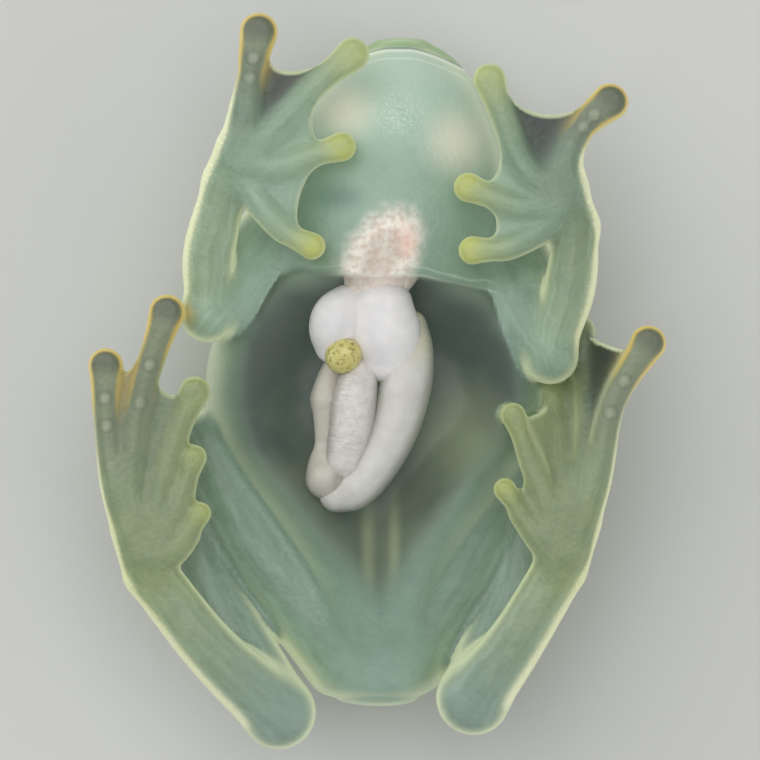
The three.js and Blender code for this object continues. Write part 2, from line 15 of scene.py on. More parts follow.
import bpy
import numpy as np
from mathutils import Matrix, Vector

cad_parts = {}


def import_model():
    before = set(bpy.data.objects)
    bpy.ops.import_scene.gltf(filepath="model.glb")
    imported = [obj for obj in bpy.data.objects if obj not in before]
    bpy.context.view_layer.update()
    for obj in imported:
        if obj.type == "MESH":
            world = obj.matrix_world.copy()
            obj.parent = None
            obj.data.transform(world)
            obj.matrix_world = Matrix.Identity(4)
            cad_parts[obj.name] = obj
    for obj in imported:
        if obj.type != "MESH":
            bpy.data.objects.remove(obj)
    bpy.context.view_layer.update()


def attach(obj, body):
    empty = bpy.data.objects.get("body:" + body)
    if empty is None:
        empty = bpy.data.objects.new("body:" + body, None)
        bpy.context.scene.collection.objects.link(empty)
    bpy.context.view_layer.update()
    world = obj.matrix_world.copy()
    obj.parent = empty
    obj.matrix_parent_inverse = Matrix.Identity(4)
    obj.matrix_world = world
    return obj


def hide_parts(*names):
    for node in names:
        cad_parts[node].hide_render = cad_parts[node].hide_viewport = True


logging.basicConfig(level=logging.INFO, format="%(message)s")
LOG = logging.getLogger("glass_frog")

MM = 0.001
ROOT_BODY = "root"
# Keeps a division from being one by nothing
TINY = 1e-9
# The fillet of pieces that meet sharply, in millimetres
SHARP = 1e-3
Array = np.ndarray
Point = tuple[float, float, float]


class Side(Enum):
    """The animal's own sides, with the sign of X on each."""

    RIGHT = -1
    LEFT = 1


# Plain maths


def smoothstep(value: Array, low: float, high: float) -> Array:
    """Returns 0 below low, 1 above high and the cubic 3t^2 - 2t^3 between them."""
    share = np.clip((value - low) / (high - low), 0.0, 1.0)
    return share * share * (3.0 - 2.0 * share)


def smooth_min(first: Array, second: Array, blend: float) -> Array:
    """Returns the lesser field, less (blend - gap)^2 / (4 blend) where the two are nearer than blend."""
    gap = np.maximum(blend - np.abs(first - second), 0.0)
    return np.minimum(first, second) - gap * gap / (4.0 * blend)


def catmull_rom(points: Array, count: int) -> Array:
    """Carries a smooth curve through all points.

    Between two points the curve is the cubic whose end slopes are half the step between the neighbours.

    Args:
        points: One row a point, any number of columns.
        count: How many samples to return, evenly spaced in the index of the points.

    Returns:
        One row a sample.
    """
    points = np.asarray(points, dtype=float)
    padded = np.vstack([2 * points[0] - points[1], points, 2 * points[-1] - points[-2]])
    place = np.linspace(0, len(points) - 1, count)
    start = np.minimum(place.astype(int), len(points) - 2)
    t = (place - start)[:, None]
    before, here, there, after = (padded[start + shift] for shift in range(4))
    slope_here = (there - before) / 2
    slope_there = (after - here) / 2
    return (
        (2 * t**3 - 3 * t**2 + 1) * here
        + (t**3 - 2 * t**2 + t) * slope_here
        + (3 * t**2 - 2 * t**3) * there
        + (t**3 - t**2) * slope_there
    )


def run_along(path: Array) -> Array:
    """Returns the length of a path up to each of its points."""
    return np.concatenate([[0.0], np.cumsum(np.linalg.norm(np.diff(path, axis=0), axis=1))])


def read_table(place: Array, known: Array, table: Array) -> Array:
    """Reads every column of a table at any places, straight between its rows at the known places."""
    return np.column_stack([np.interp(place, known, column) for column in table.T])


def path_distance(points: Array, path: Array) -> Array:
    """Measures how far points are from an open path.

    Args:
        points: One row a point, x and y.
        path: One row a corner of the path, x and y.

    Returns:
        The distance of each point.
    """
    best = np.full(len(points), np.inf)
    for start, end in zip(path[:-1], path[1:]):
        step = end - start
        share = np.clip((points - start) @ step / max(step @ step, TINY), 0, 1)
        best = np.minimum(best, np.linalg.norm(points - start - share[:, None] * step, axis=1))
    return best


def outline_distance(points: Array, outline: Array) -> Array:
    """Measures how far points are from a closed outline.

    A point is inside where a level line from it crosses the outline an odd number of times.

    Args:
        points: One row a point, x and y.
        outline: One row a corner of the outline, x and y.

    Returns:
        The distance of each point, negative inside.
    """
    closed = np.vstack([outline, outline[:1]])
    inside = np.zeros(len(points), dtype=bool)
    for start, end in zip(closed[:-1], closed[1:]):
        spans = (start[1] > points[:, 1]) != (end[1] > points[:, 1])
        rise = end[1] - start[1]
        rise = rise if abs(rise) > TINY else TINY
        cross = start[0] + (points[:, 1] - start[1]) * (end[0] - start[0]) / rise
        inside ^= spans & (points[:, 0] < cross)
    distance = path_distance(points, closed)
    return np.where(inside, -distance, distance)


def linear_rgb(red: int, green: int, blue: int) -> tuple[float, float, float, float]:
    """Turns a display colour into the linear colour that a shader takes.

    The display's curve is a straight line near black and a power above it.

    Args:
        red: Red, 0 to 255.
        green: Green, 0 to 255.
        blue: Blue, 0 to 255.

    Returns:
        The linear colour with an alpha of 1.
    """
    knee, slope, offset, power = 0.04045, 12.92, 0.055, 2.4
    share = np.array([red, green, blue]) / 255
    linear = np.where(share <= knee, share / slope, ((share + offset) / (1 + offset)) ** power)
    return (*(float(value) for value in linear), 1.0)


# Shader maths


class Value:
    """A socket of a shader, with the arithmetic that adds Math nodes to it."""

    def __init__(self, shader: "Shader", socket: Any) -> None:
        """Keeps the shader and the socket."""
        self.shader = shader
        self.socket = socket

    def _math(self, operation: str, *others: "Value | float") -> "Value":
        """Adds a Math node of self and the others."""
        node = self.shader.node("ShaderNodeMath", {"operation": operation}, dict(enumerate((self, *others))))
        return Value(self.shader, node.outputs[0])

    def __add__(self, other: "Value | float") -> "Value":
        """Returns self + other."""
        return self._math("ADD", other)

    __radd__ = __add__

    def __sub__(self, other: "Value | float") -> "Value":
        """Returns self - other."""
        return self._math("SUBTRACT", other)

    def __rsub__(self, other: float) -> "Value":
        """Returns other - self."""
        return self._math("MULTIPLY", -1.0) + other

    def __mul__(self, other: "Value | float") -> "Value":
        """Returns self * other."""
        return self._math("MULTIPLY", other)

    __rmul__ = __mul__

    def __truediv__(self, other: "Value | float") -> "Value":
        """Returns self / other."""
        return self._math("DIVIDE", other)

    def __pow__(self, other: float) -> "Value":
        """Returns self raised to other."""
        return self._math("POWER", other)

    def absolute(self) -> "Value":
        """Returns self without its sign."""
        return self._math("ABSOLUTE")

    def least(self, other: "Value | float") -> "Value":
        """Returns the lesser of self and other."""
        return self._math("MINIMUM", other)

    def most(self, other: "Value | float") -> "Value":
        """Returns the greater of self and other."""
        return self._math("MAXIMUM", other)

    def rise(self, low: float, high: float) -> "Value":
        """Makes a smooth step.

        Args:
            low: Where it leaves 0.
            high: Where it reaches 1; a high below low gives a fall.

        Returns:
            A number of 0 to 1.
        """
        if low > high:
            return 1.0 - self.rise(high, low)
        settings = {"interpolation_type": "SMOOTHSTEP"}
        inputs = {"Value": self, "From Min": low, "From Max": high}
        return Value(self.shader, self.shader.node("ShaderNodeMapRange", settings, inputs).outputs["Result"])

    def band(self, centre: float, half: float) -> "Value":
        """Returns 1 where self is at centre, falling smoothly to 0 at half to either side."""
        return (self - centre).absolute().rise(half, 0.0)

    def swing(self, depth: float) -> "Value":
        """Returns self, a number of 0 to 1, as a swing about 0 that is depth from end to end."""
        return (self - 0.5) * depth


class Shader:
    """The node tree of one material."""

    def __init__(self, name: str) -> None:
        """Makes an empty material with its output node.

        Args:
            name: The material's name.
        """
        self.material = bpy.data.materials.new(name)
        self.material.use_nodes = True
        self.tree = self.material.node_tree
        self.tree.nodes.clear()
        self.output = self.tree.nodes.new("ShaderNodeOutputMaterial")
        self.coordinates: Any = None
        self.parts: tuple[Value, ...] = ()

    def node(
        self, kind: str, settings: dict[str, Any] | None = None, inputs: dict[Any, Any] | None = None
    ) -> Any:
        """Adds a node.

        Args:
            kind: The node's type.
            settings: Its properties, set before its sockets.
            inputs: Values, links or nodes for its sockets, by name or number.

        Returns:
            The new node.
        """
        node = self.tree.nodes.new(kind)
        for key, value in (settings or {}).items():
            setattr(node, key, value)
        for key, value in (inputs or {}).items():
            self.feed(node.inputs[key], value)
        return node

    def feed(self, socket: Any, value: Any) -> None:
        """Fills one socket.

        Args:
            socket: The socket.
            value: A Value or an output to link to it, or its number or colour.
        """
        if isinstance(value, Value):
            self.tree.links.new(value.socket, socket)
        elif isinstance(value, bpy.types.NodeSocket):
            self.tree.links.new(value, socket)
        else:
            socket.default_value = value

    def attribute(self, name: str) -> Value:
        """Reads a number that the mesh carries."""
        node = self.node("ShaderNodeAttribute", {"attribute_name": name})
        return Value(self, node.outputs["Fac"])

    def place(self) -> Any:
        """Reads the Object coordinates, from one node for the whole tree.

        Returns:
            The place, in metres.
        """
        if self.coordinates is None:
            self.coordinates = self.node("ShaderNodeTexCoord").outputs["Object"]
        return self.coordinates

    def place_parts(self) -> tuple[Value, ...]:
        """Reads the place in the frog's own frame, from one node for the whole tree.

        Returns:
            The Object coordinates as three numbers, in millimetres.
        """
        if not self.parts:
            node = self.node("ShaderNodeSeparateXYZ", inputs={0: self.place()})
            self.parts = tuple(
                Value(self, node.outputs[axis]) / MM - float(OWN_SHIFT[axis]) for axis in range(3)
            )
        return self.parts

    def noise(self, size: float, detail: float = 2.0, vector: Any = None) -> Value:
        """Makes smooth noise.

        Args:
            size: The size of its lumps, in millimetres or, with a vector, in the vector's own units.
            detail: How many finer layers it has.
            vector: What it is laid out along, in place of the Object coordinates.

        Returns:
            A number of 0 to 1.
        """
        inputs = {"Vector": vector or self.place(), "Detail": detail}
        inputs["Scale"] = 1 / (size * MM) if vector is None else 1 / size
        return Value(self, self.node("ShaderNodeTexNoise", inputs=inputs).outputs["Fac"])

    def cells(self, size: float) -> Value:
        """Returns the distance from the middle of cells of about size millimetres."""
        inputs = {"Vector": self.place(), "Scale": 1 / (size * MM)}
        return Value(self, self.node("ShaderNodeTexVoronoi", inputs=inputs).outputs["Distance"])

    def spot(self, centre: tuple[float, float], radii: tuple[float, float], soft: float = 1.0) -> Value:
        """Makes a soft spot in plan.

        Args:
            centre: Its middle, in millimetres.
            radii: Its half sizes along x and y.
            soft: The share of the radii over which it fades.

        Returns:
            1 in the middle, falling smoothly to 0 at the radii.
        """
        x, y, _ = self.place_parts()
        u, v = (x - centre[0]) / radii[0], (y - centre[1]) / radii[1]
        return ((u * u + v * v) ** 0.5).rise(1.0, 1.0 - soft)

    def vector(self, x: Any, y: Any, z: Any = 0.0) -> Any:
        """Joins three numbers into a vector."""
        return self.node("ShaderNodeCombineXYZ", inputs={0: x, 1: y, 2: z}).outputs[0]

    def blend(self, factor: "Value | float", first: Any, second: Any) -> Any:
        """Mixes two colours.

        Args:
            factor: 0 for the first, 1 for the second.
            first: A colour or an output.
            second: A colour or an output.

        Returns:
            The mix, as an output.
        """
        node = self.node("ShaderNodeMix", {"data_type": "RGBA"}, {"Factor": factor})
        colours = [socket for socket in node.inputs if socket.type == "RGBA"]
        self.feed(colours[0], first)
        self.feed(colours[1], second)
        return next(socket for socket in node.outputs if socket.type == "RGBA")

    def bump(self, height: Value, depth: float) -> Any:
        """Turns a height of 0 to 1 into a normal, for relief of depth millimetres."""
        inputs = {"Height": height, "Distance": depth * MM}
        return self.node("ShaderNodeBump", inputs=inputs).outputs["Normal"]

    def finish(self, inputs: dict[str, Any]) -> Any:
        """Adds the shader and links it to the output.

        Args:
            inputs: What goes into the Principled shader's sockets, by name.

        Returns:
            The material.
        """
        shader = self.node("ShaderNodeBsdfPrincipled", inputs=inputs)
        self.tree.links.new(shader.outputs["BSDF"], self.output.inputs["Surface"])
        return self.material


@dataclass(frozen=True)
class Ramp:
    """How a tint comes in as a number goes from start to end, up to its strength."""

    start: float
    end: float
    strength: float = 1.0

    def of(self, value: Value) -> Value:
        """Returns the tint's share for a number."""
        share = value.rise(self.start, self.end)
        return share if self.strength == 1.0 else share * self.strength


@dataclass(frozen=True)
class Line:
    """A soft line where a number is at its centre, gone at half to either side."""

    centre: float
    half: float
    strength: float = 1.0

    def of(self, value: Value) -> Value:
        """Returns the line's share for a number."""
        share = value.band(self.centre, self.half)
        return share if self.strength == 1.0 else share * self.strength


# Meshes


def add_mesh(
    name: str, vertices: Array, faces: Array, attributes: dict[str, Array] | None = None
) -> bpy.types.Object:
    """Makes a smooth mesh object from whole arrays.

    Args:
        name: The object's name.
        vertices: One row a vertex, in millimetres.
        faces: One row a face, all with the same number of corners.
        attributes: Numbers for every vertex, by name.

    Returns:
        The object, linked to the scene at the origin.
    """
    mesh = bpy.data.meshes.new(name)
    corners = faces.shape[1]
    mesh.vertices.add(len(vertices))
    mesh.vertices.foreach_set("co", (vertices * MM).astype(np.float32).ravel())
    mesh.loops.add(faces.size)
    mesh.loops.foreach_set("vertex_index", faces.astype(np.int32).ravel())
    mesh.polygons.add(len(faces))
    mesh.polygons.foreach_set("loop_start", np.arange(0, faces.size, corners, dtype=np.int32))
    mesh.polygons.foreach_set("use_smooth", np.ones(len(faces), dtype=bool))
    mesh.update(calc_edges=True)
    for key, values in (attributes or {}).items():
        mesh.attributes.new(key, "FLOAT", "POINT").data.foreach_set("value", values.astype(np.float32))
    made = bpy.data.objects.new(name, mesh)
    bpy.context.scene.collection.objects.link(made)
    return made


def ring_faces(rings: int, sides: int) -> Array:
    """Makes the quads between closed rings of vertices.

    Args:
        rings: How many rings.
        sides: How many vertices a ring.

    Returns:
        One row a quad.
    """
    ring = np.arange(rings - 1)[:, None]
    side = np.arange(sides)[None, :]
    beside = (side + 1) % sides
    corners = ((ring, side), (ring, beside), (ring + 1, beside), (ring + 1, side))
    quads = [np.broadcast_to(row * sides + column, (rings - 1, sides)) for row, column in corners]
    return np.stack(quads, axis=-1).reshape(-1, 4)


def close_ends(vertices: Array, faces: Array, rings: int, sides: int) -> tuple[Array, Array]:
    """Closes the first and the last ring, with quads to the middle of each.

    Args:
        vertices: One row a vertex, ring after ring.
        faces: The quads between the rings.
        rings: How many rings.
        sides: How many vertices a ring, an even number.

    Returns:
        The vertices with both middles added, and all quads.
    """
    base = (rings - 1) * sides
    count = len(vertices)
    middles = vertices[:sides].mean(axis=0), vertices[base:].mean(axis=0)
    side = np.arange(0, sides, 2)
    beyond = (side + 2) % sides
    start = np.stack([np.full_like(side, count), beyond, side + 1, side], axis=1)
    end = np.stack([np.full_like(side, count + 1), base + side, base + side + 1, base + beyond], axis=1)
    return np.vstack([vertices, *middles]), np.vstack([faces, start, end])


def vertex_normals(vertices: Array, faces: Array) -> Array:
    """Works out the normals, each the sum of its quads' diagonals' cross products.

    Args:
        vertices: One row a vertex.
        faces: One row a quad.

    Returns:
        A unit normal for every vertex.
    """
    least_length = 1e-12
    first = vertices[faces[:, 2]] - vertices[faces[:, 0]]
    second = vertices[faces[:, 3]] - vertices[faces[:, 1]]
    flat = np.cross(first, second)
    total = np.zeros_like(vertices)
    for corner in range(4):
        np.add.at(total, faces[:, corner], flat)
    return total / (np.linalg.norm(total, axis=1, keepdims=True) + least_length)


def relaxed(vertices: Array, faces: Array) -> Array:
    """Moves every vertex half way to the mean of its neighbours along the quads' edges.

    Args:
        vertices: One row a vertex.
        faces: One row a quad.

    Returns:
        The moved vertices.
    """
    total = np.zeros_like(vertices)
    count = np.zeros(len(vertices))
    for corner in range(4):
        start, end = faces[:, corner], faces[:, (corner + 1) % 4]
        for here, there in ((start, end), (end, start)):
            count += np.bincount(here, minlength=len(vertices))
            for axis in range(3):
                total[:, axis] += np.bincount(here, weights=vertices[there, axis], minlength=len(vertices))
    return (vertices + total / np.maximum(count, 1)[:, None]) / 2


# Distance field and its skin


@dataclass
class DistanceField:
    """Distances on a grid of points, in millimetres, negative inside."""

    low: Array
    high: Array
    cell: float
    values: Array = field(init=False)

    FAR = 9.0
    MARGIN = 0.3
    SETTLING_STEPS = 3
    LEAST_SLOPE = 0.2
    STEPS_A_CELL = 3

    def __post_init__(self) -> None:
        """Makes the grid, all outside."""
        self.count = np.ceil((self.high - self.low) / self.cell).astype(int) + 1
        self.values = np.full(tuple(self.count), self.FAR, dtype=np.float32)

    def block(self, low: Array, high: Array) -> tuple[tuple[slice, ...], Array]:
        """Finds the part of the grid between two corners.

        Args:
            low: The lowest corner.
            high: The highest corner.

        Returns:
            The part's slices and its points.
        """
        first = np.clip(np.floor((low - self.low) / self.cell).astype(int), 0, self.count - 1)
        last = np.clip(np.ceil((high - self.low) / self.cell).astype(int) + 1, 1, self.count)
        part = tuple(slice(int(a), int(b)) for a, b in zip(first, last))
        axes = [self.low[axis] + self.cell * np.arange(first[axis], last[axis]) for axis in range(3)]
        return part, np.stack(np.meshgrid(*axes, indexing="ij"), axis=-1)

    def _measure(self, shape: "Shape", blend: float) -> tuple[tuple[slice, ...], Array]:
        """Measures a shape in the part of the grid that it and its fillet reach.

        Args:
            shape: The shape.
            blend: The fillet's size.

        Returns:
            The part's slices and the distances there.
        """
        low, high = shape.reach()
        part, points = self.block(low - blend - self.MARGIN, high + blend + self.MARGIN)
        distance = shape.distance(points.reshape(-1, 3)).reshape(points.shape[:3])
        return part, distance.astype(np.float32)

    def join(self, shape: "Shape", blend: float) -> None:
        """Joins a shape to the field with a fillet of that size."""
        part, distance = self._measure(shape, blend)
        self.values[part] = smooth_min(self.values[part], distance, blend)

    def cut(self, shape: "Shape", blend: float) -> None:
        """Cuts a shape out of the field, with its edges rounded by that size."""
        part, distance = self._measure(shape, blend)
        self.values[part] = -smooth_min(-self.values[part], distance, blend)

    def merge(self, other: "DistanceField", blend: float) -> None:
        """Joins another field on the same grid."""
        self.values = smooth_min(self.values, other.values, blend)

    def press(self, floor: float, top: float) -> None:
        """Flattens what passes the level that the back rests on, or that of the palms and soles.

        Args:
            floor: The level that the back rests on.
            top: The level of the palms and soles.
        """
        levels = self.low[2] + self.cell * np.arange(self.count[2])
        self.values = np.maximum(self.values, (floor - levels).astype(np.float32))
        self.values = np.maximum(self.values, (levels - top).astype(np.float32))

    def sample(self, values: Array, points: Array) -> Array:
        """Reads a grid at any points, by the weighted mean of the eight corners round each.

        Args:
            values: A number for every point of the grid.
            points: One row a place.

        Returns:
            A number for each place.
        """
        place = (points - self.low) / self.cell
        base = np.clip(np.floor(place).astype(int), 0, self.count - 2)
        share = np.clip(place - base, 0, 1)
        total = np.zeros(len(points))
        for corner in np.ndindex(2, 2, 2):
            weight = np.prod(np.where(corner, share, 1 - share), axis=1)
            total += weight * values[tuple((base + corner).T)]
        return total

    def skin(self) -> tuple[Array, Array]:
        """Meshes the zero level.

        Every cell that the level passes through gets a vertex at the mean of its crossed edges, and every
        crossed edge gets a quad of its four cells. The vertices are then evened out and moved back along
        the field's slope on to the level.

        Returns:
            The vertices and the quads.
        """
        inside = self.values < 0
        size = np.array(inside.shape) - 1

        def seen_from(corner: tuple[int, ...]) -> Array:
            """Returns whether one corner of each cell is inside."""
            return inside[tuple(slice(step, step + length) for step, length in zip(corner, size))]

        corners = list(np.ndindex(2, 2, 2))
        held = sum(seen_from(corner).astype(np.int8) for corner in corners)
        mixed = (held > 0) & (held < len(corners))
        cells = np.argwhere(mixed)
        index = np.full(mixed.shape, -1, dtype=np.int64)
        index[mixed] = np.arange(len(cells))
        vertices = self.low + self.cell * (cells + self._crossing(cells, corners))
        faces = np.vstack([self._quads(inside, index, axis) for axis in range(3)])
        return self._settled(relaxed(vertices, faces)), faces

    def _crossing(self, cells: Array, corners: Sequence[tuple[int, ...]]) -> Array:
        """Finds the mean place where the level crosses the edges of each cell.

        Args:
            cells: One row a cell, its lowest corner's index.
            corners: The eight corners of a cell as steps from its lowest.

        Returns:
            One row a cell, as shares of the cell.
        """
        at = {corner: self.values[tuple((cells + corner).T)] for corner in corners}
        total = np.zeros((len(cells), 3))
        crossings = np.zeros(len(cells))
        for first in corners:
            for axis in range(3):
                if first[axis]:
                    continue
                second = tuple(1 if other == axis else step for other, step in enumerate(first))
                crossed = (at[first] < 0) != (at[second] < 0)
                share = np.where(crossed, at[first] / np.where(crossed, at[first] - at[second], 1.0), 0.0)
                point = np.array(first, dtype=float) + share[:, None] * np.eye(3)[axis]
                total += point * crossed[:, None]
                crossings += crossed
        return total / crossings[:, None]

    def _settled(self, vertices: Array) -> Array:
        """Moves vertices on to the level, along the field's slope, by a third of a cell at most in one step.

        Args:
            vertices: One row a vertex near the level.

        Returns:
            The moved vertices.
        """
        slopes = np.gradient(self.values, self.cell)
        longest = self.cell / self.STEPS_A_CELL
        for _ in range(self.SETTLING_STEPS):
            slope = np.stack([self.sample(part, vertices) for part in slopes], axis=1)
            step = self.sample(self.values, vertices) / np.maximum((slope**2).sum(axis=1), self.LEAST_SLOPE)
            vertices = vertices - np.clip(step, -longest, longest)[:, None] * slope
        return vertices

    @staticmethod
    def _quads(inside: Array, index: Array, axis: int) -> Array:
        """Makes the quads round the crossed grid edges along one axis.

        Args:
            inside: Whether each grid point is inside.
            index: The number of each cell's vertex.
            axis: The axis that the edges lie along.

        Returns:
            The quads, facing out.
        """
        one, two = (axis + 1) % 3, (axis + 2) % 3
        start = np.moveaxis(inside, (axis, one, two), (0, 1, 2))
        cells = np.moveaxis(index, (axis, one, two), (0, 1, 2))
        crossed = start[:-1, 1:-1, 1:-1] != start[1:, 1:-1, 1:-1]
        outward = start[:-1, 1:-1, 1:-1][crossed]
        ring = [cells[:, :-1, :-1], cells[:, 1:, :-1], cells[:, 1:, 1:], cells[:, :-1, 1:]]
        quads = np.stack([part[crossed] for part in ring], axis=1)
        quads[~outward] = quads[~outward][:, ::-1]
        return quads


class Shape:
    """Something with a distance and a reach."""

    def reach(self) -> tuple[Array, Array]:
        """Returns the lowest and highest corner."""
        raise NotImplementedError

    def distance(self, points: Array) -> Array:
        """Returns the distance of each point, negative inside."""
        raise NotImplementedError


@dataclass
class Ball(Shape):
    """A round or stretched ball."""

    centre: Point
    radii: Point

    LEAST_SLOPE = 1e-3

    def reach(self) -> tuple[Array, Array]:
        """Returns the lowest and highest corner."""
        centre, radii = np.array(self.centre), np.array(self.radii)
        return centre - radii, centre + radii

    def distance(self, points: Array) -> Array:
        """Measures how far points are from the surface, as q (q - 1) / |slope|, where q is 1 on it.

        Args:
            points: One row a point.

        Returns:
            The distance of each point, negative inside.
        """
        offset = points - np.array(self.centre)
        radii = np.array(self.radii)
        level = np.linalg.norm(offset / radii, axis=1)
        slope = np.linalg.norm(offset / radii**2, axis=1)
        return level * (level - 1) / np.maximum(slope, self.LEAST_SLOPE)


@dataclass
class Tube(Shape):
    """A limb or digit: an ellipse carried along a curve, with round ends."""

    path: Array
    side: Array
    depth: Array
    steps: int = 14

    SIZE_STEPS = 4
    LEAST_SLOPE = 1e-4
    CORE = 0.05

    def __post_init__(self) -> None:
        """Samples the curve and its half widths and half depths."""
        self.line = catmull_rom(np.asarray(self.path, dtype=float), self.steps + 1)
        sizes = catmull_rom(np.column_stack([self.side, self.depth]), self.steps * self.SIZE_STEPS + 1)
        self.sizes = read_table(np.linspace(0, 1, self.steps + 1), np.linspace(0, 1, len(sizes)), sizes)
        self.run = run_along(self.line)

    def reach(self) -> tuple[Array, Array]:
        """Returns the lowest and highest corner."""
        width = self.sizes.max()
        return self.line.min(axis=0) - width, self.line.max(axis=0) + width

    def locate(self, points: Array) -> dict[str, Array]:
        """Finds each point's place on the tube.

        For each straight piece of the curve the point's offset from the nearest place on it is split along
        the piece, level across it and square to both, and scaled by the ellipse there.

        Args:
            points: One row a point.

        Returns:
            The distance, the run along the curve in millimetres, the offset across it as a share of its half
            width, and the same for the level offset in any direction.
        """
        best = np.full(len(points), np.inf)
        run = np.zeros(len(points))
        across = np.zeros(len(points))
        radial = np.zeros(len(points))
        for index in range(self.steps):
            start, end = self.line[index], self.line[index + 1]
            length = np.linalg.norm(end - start)
            forward = (end - start) / length
            level = np.cross([0.0, 0.0, 1.0], forward)
            level /= np.linalg.norm(level)
            upward = np.cross(forward, level)
            offset = points - start
            along = offset @ forward
            share = np.clip(along / length, 0, 1)
            side, depth = (self.sizes[index] + (self.sizes[index + 1] - self.sizes[index]) * share[:, None]).T
            parts = [(along - share * length, side), (offset @ level, side), (offset @ upward, depth)]
            scaled = np.sqrt(sum((part / size) ** 2 for part, size in parts))
            slope = np.sqrt(sum((part / size**2) ** 2 for part, size in parts))
            distance = scaled * (scaled - 1) / np.maximum(slope, self.LEAST_SLOPE)
            distance = np.where(scaled > self.CORE, distance, -np.minimum(side, depth))
            nearer = distance < best
            beside = (offset @ level) / side
            best = np.where(nearer, distance, best)
            run = np.where(nearer, self.run[index] + share * length, run)
            across = np.where(nearer, beside, across)
            radial = np.where(nearer, np.hypot((along - share * length) / side, beside), radial)
        return {"distance": best, "run": run, "across": across, "radial": radial}

    def distance(self, points: Array) -> Array:
        """Returns the distance of each point, negative inside."""
        return self.locate(points)["distance"]


@dataclass
class Digit:
    """A finger or toe: its curve from the root to the middle of its pad, the pad's radius and the root's."""

    path: tuple[Point, ...]
    disc: float
    root: float = 0.56
    clear: bool = False

    SHAFT = 0.46
    SHAFT_START = 0.33
    SHAFT_END = 0.66
    NECK_SHARE = 0.78
    NECK_BACK = 1.5
    PAD_SHARE = 0.9
    PAD_BACK = 0.55
    DEPTH = 0.5
    DISC_DEPTH = 0.64
    CURVE_SAMPLES = 33
    PATH_SAMPLES = 25
    STEPS = 20
    JOINT_SHARES = (0.2, 0.43, 0.62, 0.78)
    JOINT_SAMPLES = 100

    def tube(self) -> Tube:
        """Shapes the digit, which narrows to its shaft and widens to its pad.

        Returns:
            The tube.
        """
        curve = catmull_rom(np.array(self.path), self.CURVE_SAMPLES)
        run = run_along(curve)
        length = run[-1]
        neck, pad = length - self.NECK_BACK * self.disc, length - self.PAD_BACK * self.disc
        stops = np.array([0, self.SHAFT_START * length, self.SHAFT_END * length, neck, pad, length])
        widths = [
            self.root, (self.root + self.SHAFT) / 2, self.SHAFT,
            self.NECK_SHARE * self.disc, self.PAD_SHARE * self.disc, self.disc,
        ]
        depths = [self.DEPTH] * 4 + [self.DISC_DEPTH] * 2
        even = np.linspace(0, length, self.PATH_SAMPLES)
        path = read_table(even, run, curve)
        return Tube(path, np.interp(even, stops, widths), np.interp(even, stops, depths), steps=self.STEPS)

    def joints(self) -> list[Array]:
        """Returns the middles of the joints that show through the skin."""
        curve = catmull_rom(np.array(self.path), self.JOINT_SAMPLES + 1)
        return [curve[int(self.JOINT_SAMPLES * share)] for share in self.JOINT_SHARES]

    def tip(self) -> Array:
        """Returns the middle of the pad."""
        return np.array(self.path[-1])

    def forward(self) -> Array:
        """Returns the unit direction that the pad points in."""
        step = np.array(self.path[-1]) - np.array(self.path[-2])
        return step / np.linalg.norm(step)


